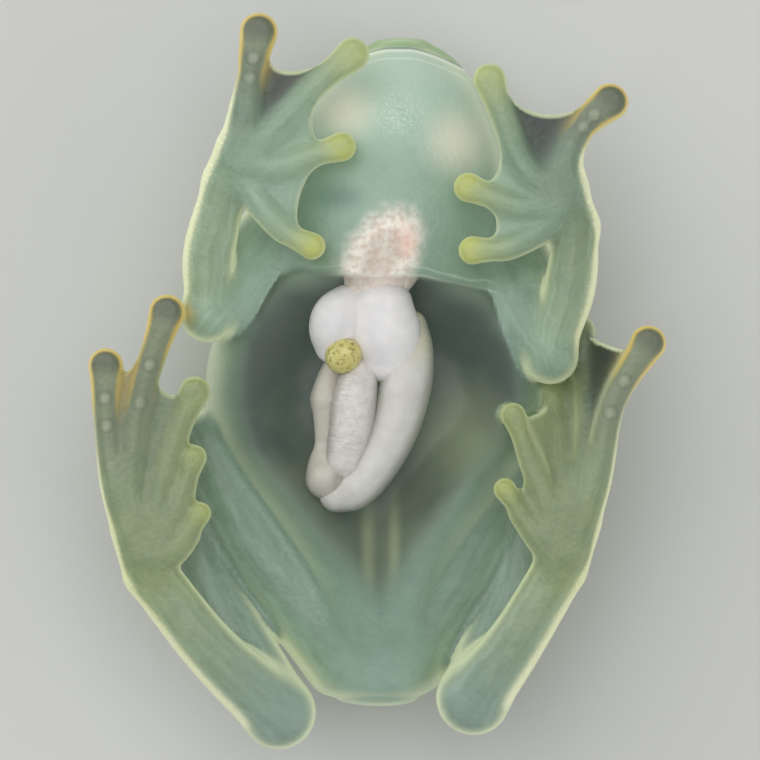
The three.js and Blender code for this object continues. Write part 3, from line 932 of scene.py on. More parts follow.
@dataclass
class Web(Shape):
    """The thin skin between two digits, with a hollow free edge.

    The reach holds how far along the first and the second digit it goes, and how deep its edge is hollow.
    """

    first: Digit
    second: Digit
    reach_shares: tuple[float, float, float]
    thickness: float = 0.42
    samples: int = 24

    SIDE_SAMPLES = 60
    FIRST_ROW = 0.02
    LEAST_LEAN = 0.4
    NEAREST = 0.01

    def __post_init__(self) -> None:
        """Works out the two sides, the free edge, the outline in plan and the sheet of the web."""
        self.curves = []
        for digit in (self.first, self.second):
            curve = catmull_rom(np.array(digit.path), self.SIDE_SAMPLES)
            run = run_along(curve)
            self.curves.append(read_table(np.linspace(0, 1, self.SIDE_SAMPLES), run / run[-1], curve))
        start, end, hollow = self.reach_shares
        over = np.linspace(0, 1, self.samples)
        edge = (start + (end - start) * over) * (1 - hollow * 4 * over * (1 - over))
        self.edge = self._at(edge, over)
        first_side = self._at(over * edge[0], np.zeros(self.samples))
        second_side = self._at(over * edge[-1], np.ones(self.samples))
        self.outline = np.vstack([first_side, self.edge[1:-1], second_side[::-1]])
        rows = np.linspace(self.FIRST_ROW, 1, self.samples)
        self.sheet = np.vstack(
            [np.column_stack([self._at(row * edge, over), self._lean(row * edge)]) for row in rows]
        )

    def _at(self, share: Array, over: Array) -> Array:
        """Finds points between the digits.

        Args:
            share: How far along the digits each is.
            over: How far over from the first digit to the second.

        Returns:
            One row a point.
        """
        place = np.linspace(0, 1, self.SIDE_SAMPLES)
        one, two = (read_table(share, place, curve) for curve in self.curves)
        return one + (two - one) * over[:, None]

    def _lean(self, edge: Array) -> Array:
        """Works out how level the way between the digits is.

        Args:
            edge: How far along the digits each point of a row is.

        Returns:
            The level share of the way for each point, 1 where the digits lie level with each other.
        """
        ends = self._at(edge[[0, -1]], np.array([0.0, 1.0]))
        step = ends[1] - ends[0]
        share = np.linalg.norm(step[:2]) / max(np.linalg.norm(step), TINY)
        return np.full(len(edge), max(share, self.LEAST_LEAN))

    def reach(self) -> tuple[Array, Array]:
        """Returns the lowest and highest corner."""
        return self.outline.min(axis=0) - self.thickness, self.outline.max(axis=0) + self.thickness

    def edge_distance(self, points: Array) -> Array:
        """Returns the level distance to the free edge."""
        return path_distance(points[:, :2], self.edge[:, :2])

    def level(self, points: Array) -> tuple[Array, Array]:
        """Reads the sheet near points, as means weighted by nearness.

        Args:
            points: One row a point.

        Returns:
            The level and the lean of the sheet for each point.
        """
        total = np.zeros((len(points), 2))
        weight = np.zeros(len(points))
        for sample in self.sheet[::2]:
            near = 1 / (((points[:, :2] - sample[:2]) ** 2).sum(axis=1) + self.NEAREST) ** 2
            total += near[:, None] * sample[2:]
            weight += near
        return tuple((total / weight[:, None]).T)

    def distance(self, points: Array) -> Array:
        """Measures the greater of the level distance to the outline and the distance from the sheet.

        Args:
            points: One row a point.

        Returns:
            The distance of each point, negative inside.
        """
        height, lean = self.level(points)
        lift = np.abs(points[:, 2] - height) * lean - self.thickness / 2
        return np.maximum(outline_distance(points[:, :2], self.outline[:, :2]), lift)


# Sizes of the frog, in millimetres, shared with the solids

OWN_SHIFT = np.array([0.0892, 0.0102, 0.0])
PRESS_LEVEL = 8.2
FLOOR_LEVEL = 0.0
MOUTH_LEVEL = 4.3
BODY_X = 0.05
HEAD_LEAN = 0.1051
LEAN_FROM_Y = 5.0

# From vent to snout: y, half width, level of the back, level of the belly
BODY_STATIONS = (
    (-11.5, 1.35, 2.7, 5.7), (-10.9, 2.05, 1.7, 6.3), (-9.4, 2.5, 0.8, 6.8), (-7.5, 2.85, 0.2, 7.2),
    (-5.5, 3.95, -0.1, 7.75), (-3.5, 5.3, -0.15, 8.1), (-1.9, 6.1, -0.12, 8.25), (-0.5, 6.35, 0.02, 8.3),
    (1.0, 6.2, 0.3, 8.15), (2.6, 5.6, 0.65, 7.75), (4.2, 4.75, 0.9, 7.2), (5.6, 4.5, 1.0, 7.0),
    (7.2, 4.3, 1.15, 6.9), (8.6, 3.9, 1.3, 6.75), (9.8, 3.3, 1.5, 6.5), (10.8, 2.7, 1.8, 6.15),
    (11.6, 1.9, 2.2, 5.7), (12.1, 1.0, 2.7, 5.2),
)
# The edge of the clear belly, clockwise from its upper left corner as the camera sees it: x, y
WINDOW_OUTLINE = (
    (-4.2, 3.6), (-2.8, 4.0), (-1.4, 3.75), (0.1, 3.75), (1.3, 3.7), (2.8, 3.5),
    (4.3, 3.1), (5.5, 1.6), (5.95, -0.4), (5.3, -2.2), (3.96, -3.6), (2.66, -5.4), (1.33, -7.0), (0.1, -8.6),
    (-1.2, -7.4), (-2.4, -6.3), (-4.0, -4.4), (-5.4, -2.6), (-5.85, -0.4), (-5.6, 1.8),
)
WINDOW_CENTRE = (0.1, -1.0)
# The hollow's own upper edge, up round the heart, in place of the outline's first points
HOLLOW_TOP = (
    (-4.2, 3.6), (-2.8, 4.0), (-1.7, 4.5), (-1.2, 5.6), (0.2, 6.4), (1.5, 5.9), (2.0, 4.6), (2.9, 3.8),
)
TOP_POINTS = 6
CAVITY_FLOOR = 4.6


def body_axis(y: Array) -> Array:
    """Returns the x of the body's axis: straight, then turned with the head."""
    return BODY_X + np.maximum(0.0, y - LEAN_FROM_Y) * HEAD_LEAN


def axis_at(y: float) -> float:
    """Returns the x of the body's axis at one y."""
    return float(body_axis(np.array([y]))[0])


@dataclass
class Trunk(Shape):
    """The head and body as cross sections along y, each a fuller ellipse in two halves."""

    roundness: float = 2.15
    waist_share: float = 0.48
    end_reach: float = 0.3

    LOWEST = (-6.8, -12.2, -0.6)
    HIGHEST = (7.0, 12.8, 8.7)
    SAMPLES = 400
    SLOPE_STEP = 0.02
    LEAST_SLOPE = 0.05

    def __post_init__(self) -> None:
        """Carries a smooth curve through the stations."""
        self.table = catmull_rom(np.array(BODY_STATIONS), self.SAMPLES)

    def reach(self) -> tuple[Array, Array]:
        """Returns the lowest and highest corner."""
        return np.array(self.LOWEST), np.array(self.HIGHEST)

    def sections(self, y: Array) -> tuple[Array, Array, Array, Array]:
        """Reads the cross sections.

        Args:
            y: Where along the body.

        Returns:
            The half width, the level of the waist, and the heights below and above the waist.
        """
        half, back, belly = (np.interp(y, self.table[:, 0], self.table[:, column]) for column in (1, 2, 3))
        waist = back + self.waist_share * (belly - back)
        return half, waist, waist - back, belly - waist

    def level(self, points: Array) -> Array:
        """Places points against the surface: (|u|^n + |v|^n)^(1/n), with rounded ends past the last stations.

        Args:
            points: One row a point.

        Returns:
            A number for each point, 1 on the surface.
        """
        x, y, z = points.T
        first, last = self.table[0, 0], self.table[-1, 0]
        held = np.clip(y, first, last)
        half, waist, below, above = self.sections(held)
        u = np.abs(x - body_axis(y)) / half
        v = np.abs(z - waist) / np.where(z < waist, below, above)
        flat = (u**self.roundness + v**self.roundness) ** (1 / self.roundness)
        return np.sqrt(flat**2 + ((y - held) / self.end_reach) ** 2)

    def distance(self, points: Array) -> Array:
        """Measures how far points are from the surface: (level - 1) / |slope|, by small steps.

        Args:
            points: One row a point.

        Returns:
            The distance of each point, negative inside.
        """
        here = self.level(points)
        slope = np.zeros(len(points))
        for direction in np.eye(3):
            ahead = self.level(points + self.SLOPE_STEP * direction)
            slope += ((ahead - here) / self.SLOPE_STEP) ** 2
        return (here - 1) / np.maximum(np.sqrt(slope), self.LEAST_SLOPE)

    def belly_level(self, x: Array, y: Array) -> Array:
        """Finds the belly's surface over a place.

        Args:
            x: Where across the body.
            y: Where along the body.

        Returns:
            The level.
        """
        half, waist, _, above = self.sections(y)
        u = np.clip(np.abs(x - body_axis(y)) / half, 0, 1)
        return waist + above * (1 - u**self.roundness) ** (1 / self.roundness)

    def side_at(self, y: Array, sign: int, level: float, inset: float) -> Array:
        """Finds points on the side of the body at one level.

        Args:
            y: Where along the body.
            sign: The side's sign.
            level: The level.
            inset: How far in from the surface.

        Returns:
            One row a point.
        """
        half, waist, _, above = self.sections(y)
        rise = np.abs(level - waist) / above
        out = half * np.clip(1 - rise**self.roundness, 0, 1) ** (1 / self.roundness)
        return np.column_stack([body_axis(y) + sign * (out - inset), y, np.full_like(y, level)])

    def back_at(self, y: float, sign: int, angle: float) -> Point:
        """Finds a point on the back.

        Args:
            y: Where along the body.
            sign: The side's sign.
            angle: The angle down from the side, in radians.

        Returns:
            The point.
        """
        half, waist, below, _ = (float(part) for part in self.sections(np.array([y])))
        power = 2 / self.roundness
        return axis_at(y) + sign * half * np.cos(angle) ** power, y, waist - below * np.sin(angle) ** power


@dataclass(frozen=True)
class Tone:
    """How flesh is tinted, each from 0 to 1: pale over dark green, yellow, and bluish grey."""

    pale: float
    yellow: float = 0.0
    blue: float = 0.0

    def darker(self, shade: float) -> "Tone":
        """Returns the tone with less of the pale green."""
        return replace(self, pale=self.pale - shade)


class Kind(Enum):
    """What a piece of flesh is."""

    TRUNK = "trunk"
    LIMB = "limb"
    DIGIT = "digit"
    WEB = "web"


@dataclass
class Flesh:
    """One piece of flesh: its fillet to what it joins, its tint at its start and end, the side of its pale
    fringe, and how much of its tint's change is gathered near its end."""

    shape: Shape
    kind: Kind
    start: Tone
    end: Tone
    blend: float = 0.12
    fringe: int = 0
    gather: float = 1.0


@dataclass(frozen=True)
class Segment:
    """A limb's segment without its place: half widths and depths at even shares of the way, and tints."""

    side: tuple[float, ...]
    depth: tuple[float, ...]
    start: Tone
    end: Tone
    blend: float
    fringed: bool = False

    def flesh(self, path: Sequence[Point], outer: int, shades: tuple[float, float] = (0.0, 0.0)) -> Flesh:
        """Puts the segment in its place.

        Args:
            path: The places that its middle line passes.
            outer: The sign of the side that a pale fringe is on.
            shades: How much darker its start and its end are.

        Returns:
            The flesh.
        """
        tube = Tube(np.array(path), np.array(self.side), np.array(self.depth))
        start, end = self.start.darker(shades[0]), self.end.darker(shades[1])
        return Flesh(tube, Kind.LIMB, start, end, self.blend, outer if self.fringed else 0)


@dataclass(frozen=True)
class DigitTints:
    """How the digits and webs of a hand or foot are tinted, from the first digit to the last."""

    root: Tone
    tip_pale: float
    last_root: Tone
    last_tip_pale: float
    yellow_tips: tuple[float, ...]
    webs: tuple[Tone, ...]
    blend: float = 0.25
    gather: float = 3.0
    last_gather: float = 4.0

    def flesh(
        self, digits: Sequence[Digit], reaches: Sequence[Point], outer: int, shade: float = 0.0
    ) -> list[Flesh]:
        """Makes the digits and the webs between neighbours.

        Args:
            digits: The digits, the last one with a pale fringe.
            reaches: The reach of each web along its two digits, and how hollow its edge is.
            outer: The sign of the side that the fringe is on.
            shade: How much darker the digits' roots are, apart from the last.

        Returns:
            All pieces of flesh.
        """
        root = self.root.darker(shade)
        parts = [
            Flesh(digit.tube(), Kind.DIGIT, root, Tone(self.tip_pale, yellow), self.blend, gather=self.gather)
            for digit, yellow in zip(digits[:-1], self.yellow_tips)
        ]
        last_tip = Tone(self.last_tip_pale, self.yellow_tips[-1])
        last = digits[-1].tube()
        parts.append(Flesh(last, Kind.DIGIT, self.last_root, last_tip, self.blend, outer, self.last_gather))
        parts += [
            Flesh(Web(first, second, reach), Kind.WEB, tone, tone, self.blend)
            for first, second, reach, tone in zip(digits, digits[1:], reaches, self.webs)
        ]
        return parts


@dataclass(frozen=True)
class Arm:
    """One arm's joints, its fingers, the reaches of its webs, and how much it is shaded."""

    side: Side
    shoulder: Point
    elbow: Point
    forearm: Point
    wrist: Point
    palm: Point
    digits: tuple[Digit, ...]
    webs: tuple[Point, ...]
    shade: float = 0.0

    BLEND = 0.55
    UPPER = Segment((1.4, 1.35, 0.85), (1.1, 0.95, 0.8), Tone(0.62), Tone(0.6), 0.6)
    FOREARM = Segment((0.7, 0.94, 0.78), (0.72, 0.8, 0.5), Tone(0.58, 0.15), Tone(0.42, 0.15), 0.35, True)
    PALM = Segment((0.78, 0.98), (0.5, 0.56), Tone(0.42, 0.1), Tone(0.45, 0.1), 0.4, True)
    FINGERS = DigitTints(
        root=Tone(0.58, 0.05), tip_pale=0.62, last_root=Tone(0.34, 0.05), last_tip_pale=0.34,
        yellow_tips=(0.85, 0.85, 0.6, 0.3), webs=(Tone(0.62, 0.05), Tone(0.62, 0.08), Tone(0.12)),
    )

    def upper(self) -> Flesh:
        """Returns the upper arm."""
        return self.UPPER.flesh((self.shoulder, self.elbow), 0, (self.shade, self.shade))

    def lower(self) -> list[Flesh]:
        """Puts together the forearm, the palm, the fingers and their webs.

        Returns:
            The flesh.
        """
        outer = -self.side.value
        return [
            self.FOREARM.flesh((self.elbow, self.forearm, self.wrist), outer, (0.0, self.shade)),
            self.PALM.flesh((self.wrist, self.palm), outer, (self.shade, self.shade)),
            *self.FINGERS.flesh(self.digits, self.webs, outer, self.shade),
        ]


@dataclass(frozen=True)
class Leg:
    """One leg's joints, its toes and the reaches of its webs."""

    side: Side
    hip: Point
    thigh: Point
    knee_turn: Point
    knee: Point
    shank: Point
    heel: Point
    tarsus: Point
    ankle: Point
    foot: Point
    digits: tuple[Digit, ...]
    webs: tuple[Point, ...]

    BLEND = 0.4
    THIGH = Segment((1.5, 1.35, 1.1), (1.9, 1.55, 1.15), Tone(0.5), Tone(0.34), 0.6)
    SHANK = Segment((1.0, 1.24, 1.26), (0.95, 1.05, 0.85), Tone(0.32), Tone(0.42, 0.0, 0.4), 0.3)
    TARSUS = Segment((1.26, 1.03, 0.95), (1.1, 0.85, 0.5), Tone(0.46, 0.0, 0.5), Tone(0.3, 0.28), 0.35, True)
    SOLE = Segment((0.86, 1.06), (0.52, 0.56), Tone(0.25, 0.35), Tone(0.22, 0.35), 0.35, True)
    TOES = DigitTints(
        root=Tone(0.28, 0.25), tip_pale=0.24, last_root=Tone(0.32, 0.25), last_tip_pale=0.4,
        yellow_tips=(0.6, 0.5, 0.45, 0.35, 0.35),
        webs=(Tone(0.4, 0.3), Tone(0.4, 0.3), Tone(0.35, 0.2), Tone(0.2)),
    )

    def upper(self) -> Flesh:
        """Returns the thigh."""
        return self.THIGH.flesh((self.hip, self.thigh, self.knee_turn), 0)

    def lower(self) -> list[Flesh]:
        """Puts together the shank, the tarsus, the sole, the toes and their webs.

        Returns:
            The flesh.
        """
        outer = -self.side.value
        return [
            self.SHANK.flesh((self.knee, self.shank, self.heel), outer),
            self.TARSUS.flesh((self.heel, self.tarsus, self.ankle), outer),
            self.SOLE.flesh((self.ankle, self.foot), outer),
            *self.TOES.flesh(self.digits, self.webs, outer),
        ]


RIGHT_ARM = Arm(
    Side.RIGHT, (-3.7, 5.1, 4.7), (-6.15, 2.35, 6.6), (-6.1, 4.5, 7.0), (-5.5, 7.1, 7.45), (-4.95, 8.1, 7.7),
    (
        Digit(((-4.7, 7.0, 7.6), (-4.1, 6.1, 7.7), (-3.35, 5.3, 7.72), (-2.4, 4.8, 7.7)), 0.5),
        Digit(((-4.6, 7.7, 7.7), (-3.7, 7.6, 7.72), (-2.5, 8.0, 7.72), (-1.35, 8.35, 7.7)), 0.54),
        Digit(((-4.5, 8.1, 7.7), (-3.6, 9.1, 7.72), (-2.2, 10.6, 7.72), (-0.95, 11.65, 7.72)), 0.62),
        Digit(
            ((-5.0, 8.1, 7.7), (-4.8, 9.4, 7.72), (-4.58, 11.0, 7.72), (-4.3, 12.45, 7.72)),
            0.7, 0.82, clear=True,
        ),
    ),
    ((0.84, 0.8, 0.15), (0.8, 0.72, 0.15), (0.95, 0.86, 0.19)),
)
LEFT_ARM = Arm(
    Side.LEFT, (4.45, 5.1, 4.7), (6.15, 0.85, 6.95), (6.82, 3.3, 7.1), (7.08, 5.5, 7.45), (6.5, 6.8, 7.7),
    (
        Digit(((6.2, 5.7, 7.6), (5.5, 5.2, 7.7), (4.5, 4.72, 7.72), (3.35, 4.65, 7.7)), 0.52),
        Digit(((6.3, 6.3, 7.7), (5.4, 6.15, 7.72), (4.3, 6.45, 7.72), (3.2, 6.9, 7.7)), 0.54),
        Digit(((6.2, 6.7, 7.7), (5.2, 7.6, 7.72), (4.5, 9.2, 7.72), (3.95, 10.75, 7.72)), 0.6),
        Digit(
            ((6.7, 6.6, 7.7), (6.7, 8.0, 7.72), (7.4, 9.2, 7.72), (8.25, 9.95, 7.72)),
            0.68, 0.82, clear=True,
        ),
    ),
    ((0.84, 0.8, 0.15), (0.84, 0.72, 0.15), (0.95, 0.95, 0.2)), shade=0.18,
)
RIGHT_LEG = Leg(
    Side.RIGHT, (-1.3, -9.9, 4.1), (-4.6, -5.6, 4.4), (-6.45, -2.35, 4.3), (-7.25, -2.75, 4.3),
    (-6.3, -7.3, 4.8), (-3.6, -11.95, 6.1), (-5.98, -9.7, 7.1), (-8.2, -6.9, 7.5), (-8.5, -5.4, 7.65),
    (
        Digit(((-8.0, -6.4, 7.65), (-7.3, -6.1, 7.72), (-6.75, -5.4, 7.72), (-6.4, -4.75, 7.72)), 0.42),
        Digit(((-8.1, -6.2, 7.65), (-7.47, -5.2, 7.72), (-6.97, -3.9, 7.72), (-6.6, -2.75, 7.72)), 0.46),
        Digit(((-8.2, -6.0, 7.65), (-7.85, -4.0, 7.72), (-7.2, -1.9, 7.72), (-6.58, -0.4, 7.72)), 0.56),
        Digit(
            ((-8.4, -6.0, 7.65), (-8.85, -3.2, 7.72), (-8.45, -0.4, 7.72), (-7.58, 2.42, 7.72)),
            0.66, 0.56, clear=True,
        ),
        Digit(
            ((-8.64, -6.2, 7.65), (-9.43, -3.8, 7.72), (-9.76, -1.3, 7.72), (-9.77, 0.52, 7.72)),
            0.64, 0.66, clear=True,
        ),
    ),
    ((0.8, 0.6, 0.08), (0.85, 0.72, 0.08), (0.95, 0.72, 0.06), (0.88, 0.92, 0.05)),
)
LEFT_LEG = Leg(
    Side.LEFT, (1.2, -9.6, 4.1), (3.2, -6.5, 4.4), (4.95, -3.1, 4.3), (6.0, -2.75, 4.3),
    (5.0, -7.6, 4.8), (3.38, -11.45, 6.1), (4.95, -9.3, 7.1), (6.5, -6.7, 7.5), (6.85, -5.1, 7.65),
    (
        Digit(((6.3, -6.3, 7.65), (5.75, -5.7, 7.72), (5.1, -4.8, 7.72), (4.5, -3.9, 7.72)), 0.42),
        Digit(((6.4, -6.1, 7.65), (6.0, -4.4, 7.72), (5.4, -2.8, 7.75), (4.8, -1.25, 7.75)), 0.46),
        Digit(((6.6, -6.0, 7.65), (6.6, -4.2, 7.6), (6.45, -2.2, 6.7), (6.3, -0.6, 5.75)), 0.5),
        Digit(((6.8, -6.0, 7.65), (7.35, -3.2, 7.5), (7.45, -0.6, 6.3), (7.25, 1.75, 5.45)), 0.58),
        Digit(
            ((6.95, -6.1, 7.65), (7.76, -3.6, 7.72), (8.38, -0.8, 7.72), (9.62, 1.32, 7.72)),
            0.66, 0.66, clear=True,
        ),
    ),
    ((0.85, 0.62, 0.08), (0.97, 0.97, 0.03), (1.0, 0.98, 0.02), (1.0, 0.95, 0.02)),
)
# Folds of skin that close the crease between thigh and shank
SKIN_FOLDS = ((-3.95, -8.7, 4.5), (2.45, -9.75, 4.5))
FOLD_RADII = (0.35, 0.9, 0.8)
FOLD_BLEND = 0.3
LIMBS = (RIGHT_ARM, LEFT_ARM, RIGHT_LEG, LEFT_LEG)


@dataclass(frozen=True)
class EyeSeat:
    """Where an eye sits in the skull, and the lids round it."""

    side: Side
    radius: float = 1.22
    along: float = 9.15
    beside: float = 2.12
    level: float = 2.1
    lid_along: float = 0.05
    lid_beside: float = 1.95
    lid_level: float = 1.79
    lid_radius: float = 1.88
    lid_length: float = 1.06
    opening: float = 1.1
    opening_flare: float = 1.5
    opening_start: float = 0.35
    opening_end: float = 2.6
    ball_gap: float = 0.04

    # Outwards, forwards and up from the back
    GAZE = (0.72, 0.42, -0.55)

    def centre(self) -> Array:
        """Returns the eye's centre."""
        return np.array([axis_at(self.along) + self.side.value * self.beside, self.along, self.level])

    def gaze(self) -> Array:
        """Returns the unit direction that the eye looks in."""
        look = np.array(self.GAZE) * (self.side.value, 1, 1)
        return look / np.linalg.norm(look)

    def mound(self) -> Ball:
        """Shapes the round lids.

        Returns:
            The ball.
        """
        x = axis_at(self.along) + self.side.value * self.lid_beside
        radii = (self.lid_radius, self.lid_radius * self.lid_length, self.lid_radius)
        return Ball((x, self.along - self.lid_along, self.lid_level), radii)

    def socket(self) -> Tube:
        """Shapes the opening that the eye looks out of, wider to the outside.

        Returns:
            The tube.
        """
        ends = [self.centre() + self.gaze() * reach for reach in (self.opening_start, self.opening_end)]
        widths = np.array([self.opening, self.opening * self.opening_flare])
        return Tube(np.array(ends), widths, widths)

    def ball_room(self) -> Ball:
        """Returns the room that the eyeball takes."""
        room = self.radius + self.ball_gap
        return Ball(tuple(self.centre()), (room, room, room))


EYES = tuple(EyeSeat(side) for side in Side)


@dataclass(frozen=True)
class Eye:
    """An eyeball, built round its line of sight."""

    seat: EyeSeat
    node: str
    rings: int = 60
    sides: int = 96
    pole_gap: float = 0.02

    def build(self) -> bpy.types.Object:
        """Builds the ball; each vertex knows its place along the pupil, above it and in front.

        Returns:
            The ball.
        """
        gaze = self.seat.gaze()
        level = np.array([0.0, 1.0, 0.0]) - gaze[1] * gaze
        level /= np.linalg.norm(level)
        above = np.cross(gaze, level)
        polar = np.linspace(self.pole_gap, np.pi - self.pole_gap, self.rings)[:, None, None]
        turn = np.linspace(0, 2 * np.pi, self.sides, endpoint=False)[None, :, None]
        out = np.cos(polar) * gaze + np.sin(polar) * (np.cos(turn) * level + np.sin(turn) * above)
        ball = self.seat.centre() + self.seat.radius * out.reshape(-1, 3)
        outward = ring_faces(self.rings, self.sides)[:, ::-1]
        vertices, faces = close_ends(ball, outward, self.rings, self.sides)
        out = (vertices - self.seat.centre()) / self.seat.radius
        numbers = {"level": out @ level, "above": out @ above, "ahead": out @ gaze}
        made = add_mesh(self.node + "_form", vertices + OWN_SHIFT, faces, numbers)
        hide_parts(self.node)
        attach(made, ROOT_BODY)
        return made


@dataclass(frozen=True)
class EyeFinish:
    """A golden iris with a dark net and a dark ring, a level pupil, a pale rim and a clear wet front."""

    gold: tuple = linear_rgb(206, 172, 78)
    pale_gold: tuple = linear_rgb(228, 208, 132)
    net: tuple = linear_rgb(70, 48, 26)
    ring: tuple = linear_rgb(84, 62, 34)
    white: tuple = linear_rgb(206, 206, 178)
    pupil: tuple = linear_rgb(12, 12, 14)
    pupil_half: tuple[float, float] = (0.4, 0.2)
    pupil_edge: Ramp = Ramp(1.15, 0.9)
    net_size: float = 0.16
    net_detail: float = 4.0
    net_edge: Ramp = Ramp(0.05, 0.01)
    net_strength: float = 0.75
    gold_size: float = 0.5
    ring_line: Line = Line(0.7, 0.07)
    iris_edge: Ramp = Ramp(0.86, 0.76)
    front: Ramp = Ramp(0.0, 0.1)
    roughness: float = 0.3
    wet_roughness: float = 0.04

    def material(self) -> Any:
        """Makes the material.

        Returns:
            The material.
        """
        shader = Shader("eye")
        level, above, ahead = (shader.attribute(name) for name in ("level", "above", "ahead"))
        out = (level * level + above * above) ** 0.5
        half_length, half_height = self.pupil_half
        pupil = self.pupil_edge.of((level / half_length) ** 2.0 + (above / half_height) ** 2.0)
        net = self.net_edge.of((shader.noise(self.net_size, detail=self.net_detail) - 0.5).absolute())
        gold = shader.blend(shader.noise(self.gold_size), self.gold, self.pale_gold)
        iris = shader.blend(net * self.net_strength, gold, self.net)
        iris = shader.blend(self.ring_line.of(out), iris, self.ring)
        front = self.front.of(ahead)
        colour = shader.blend(self.iris_edge.of(out) * front, self.white, iris)
        colour = shader.blend(pupil * front, colour, self.pupil)
        return shader.finish({
            "Base Color": colour, "Roughness": self.roughness,
            "Coat Weight": 1.0, "Coat Roughness": self.wet_roughness,
        })


# Skin


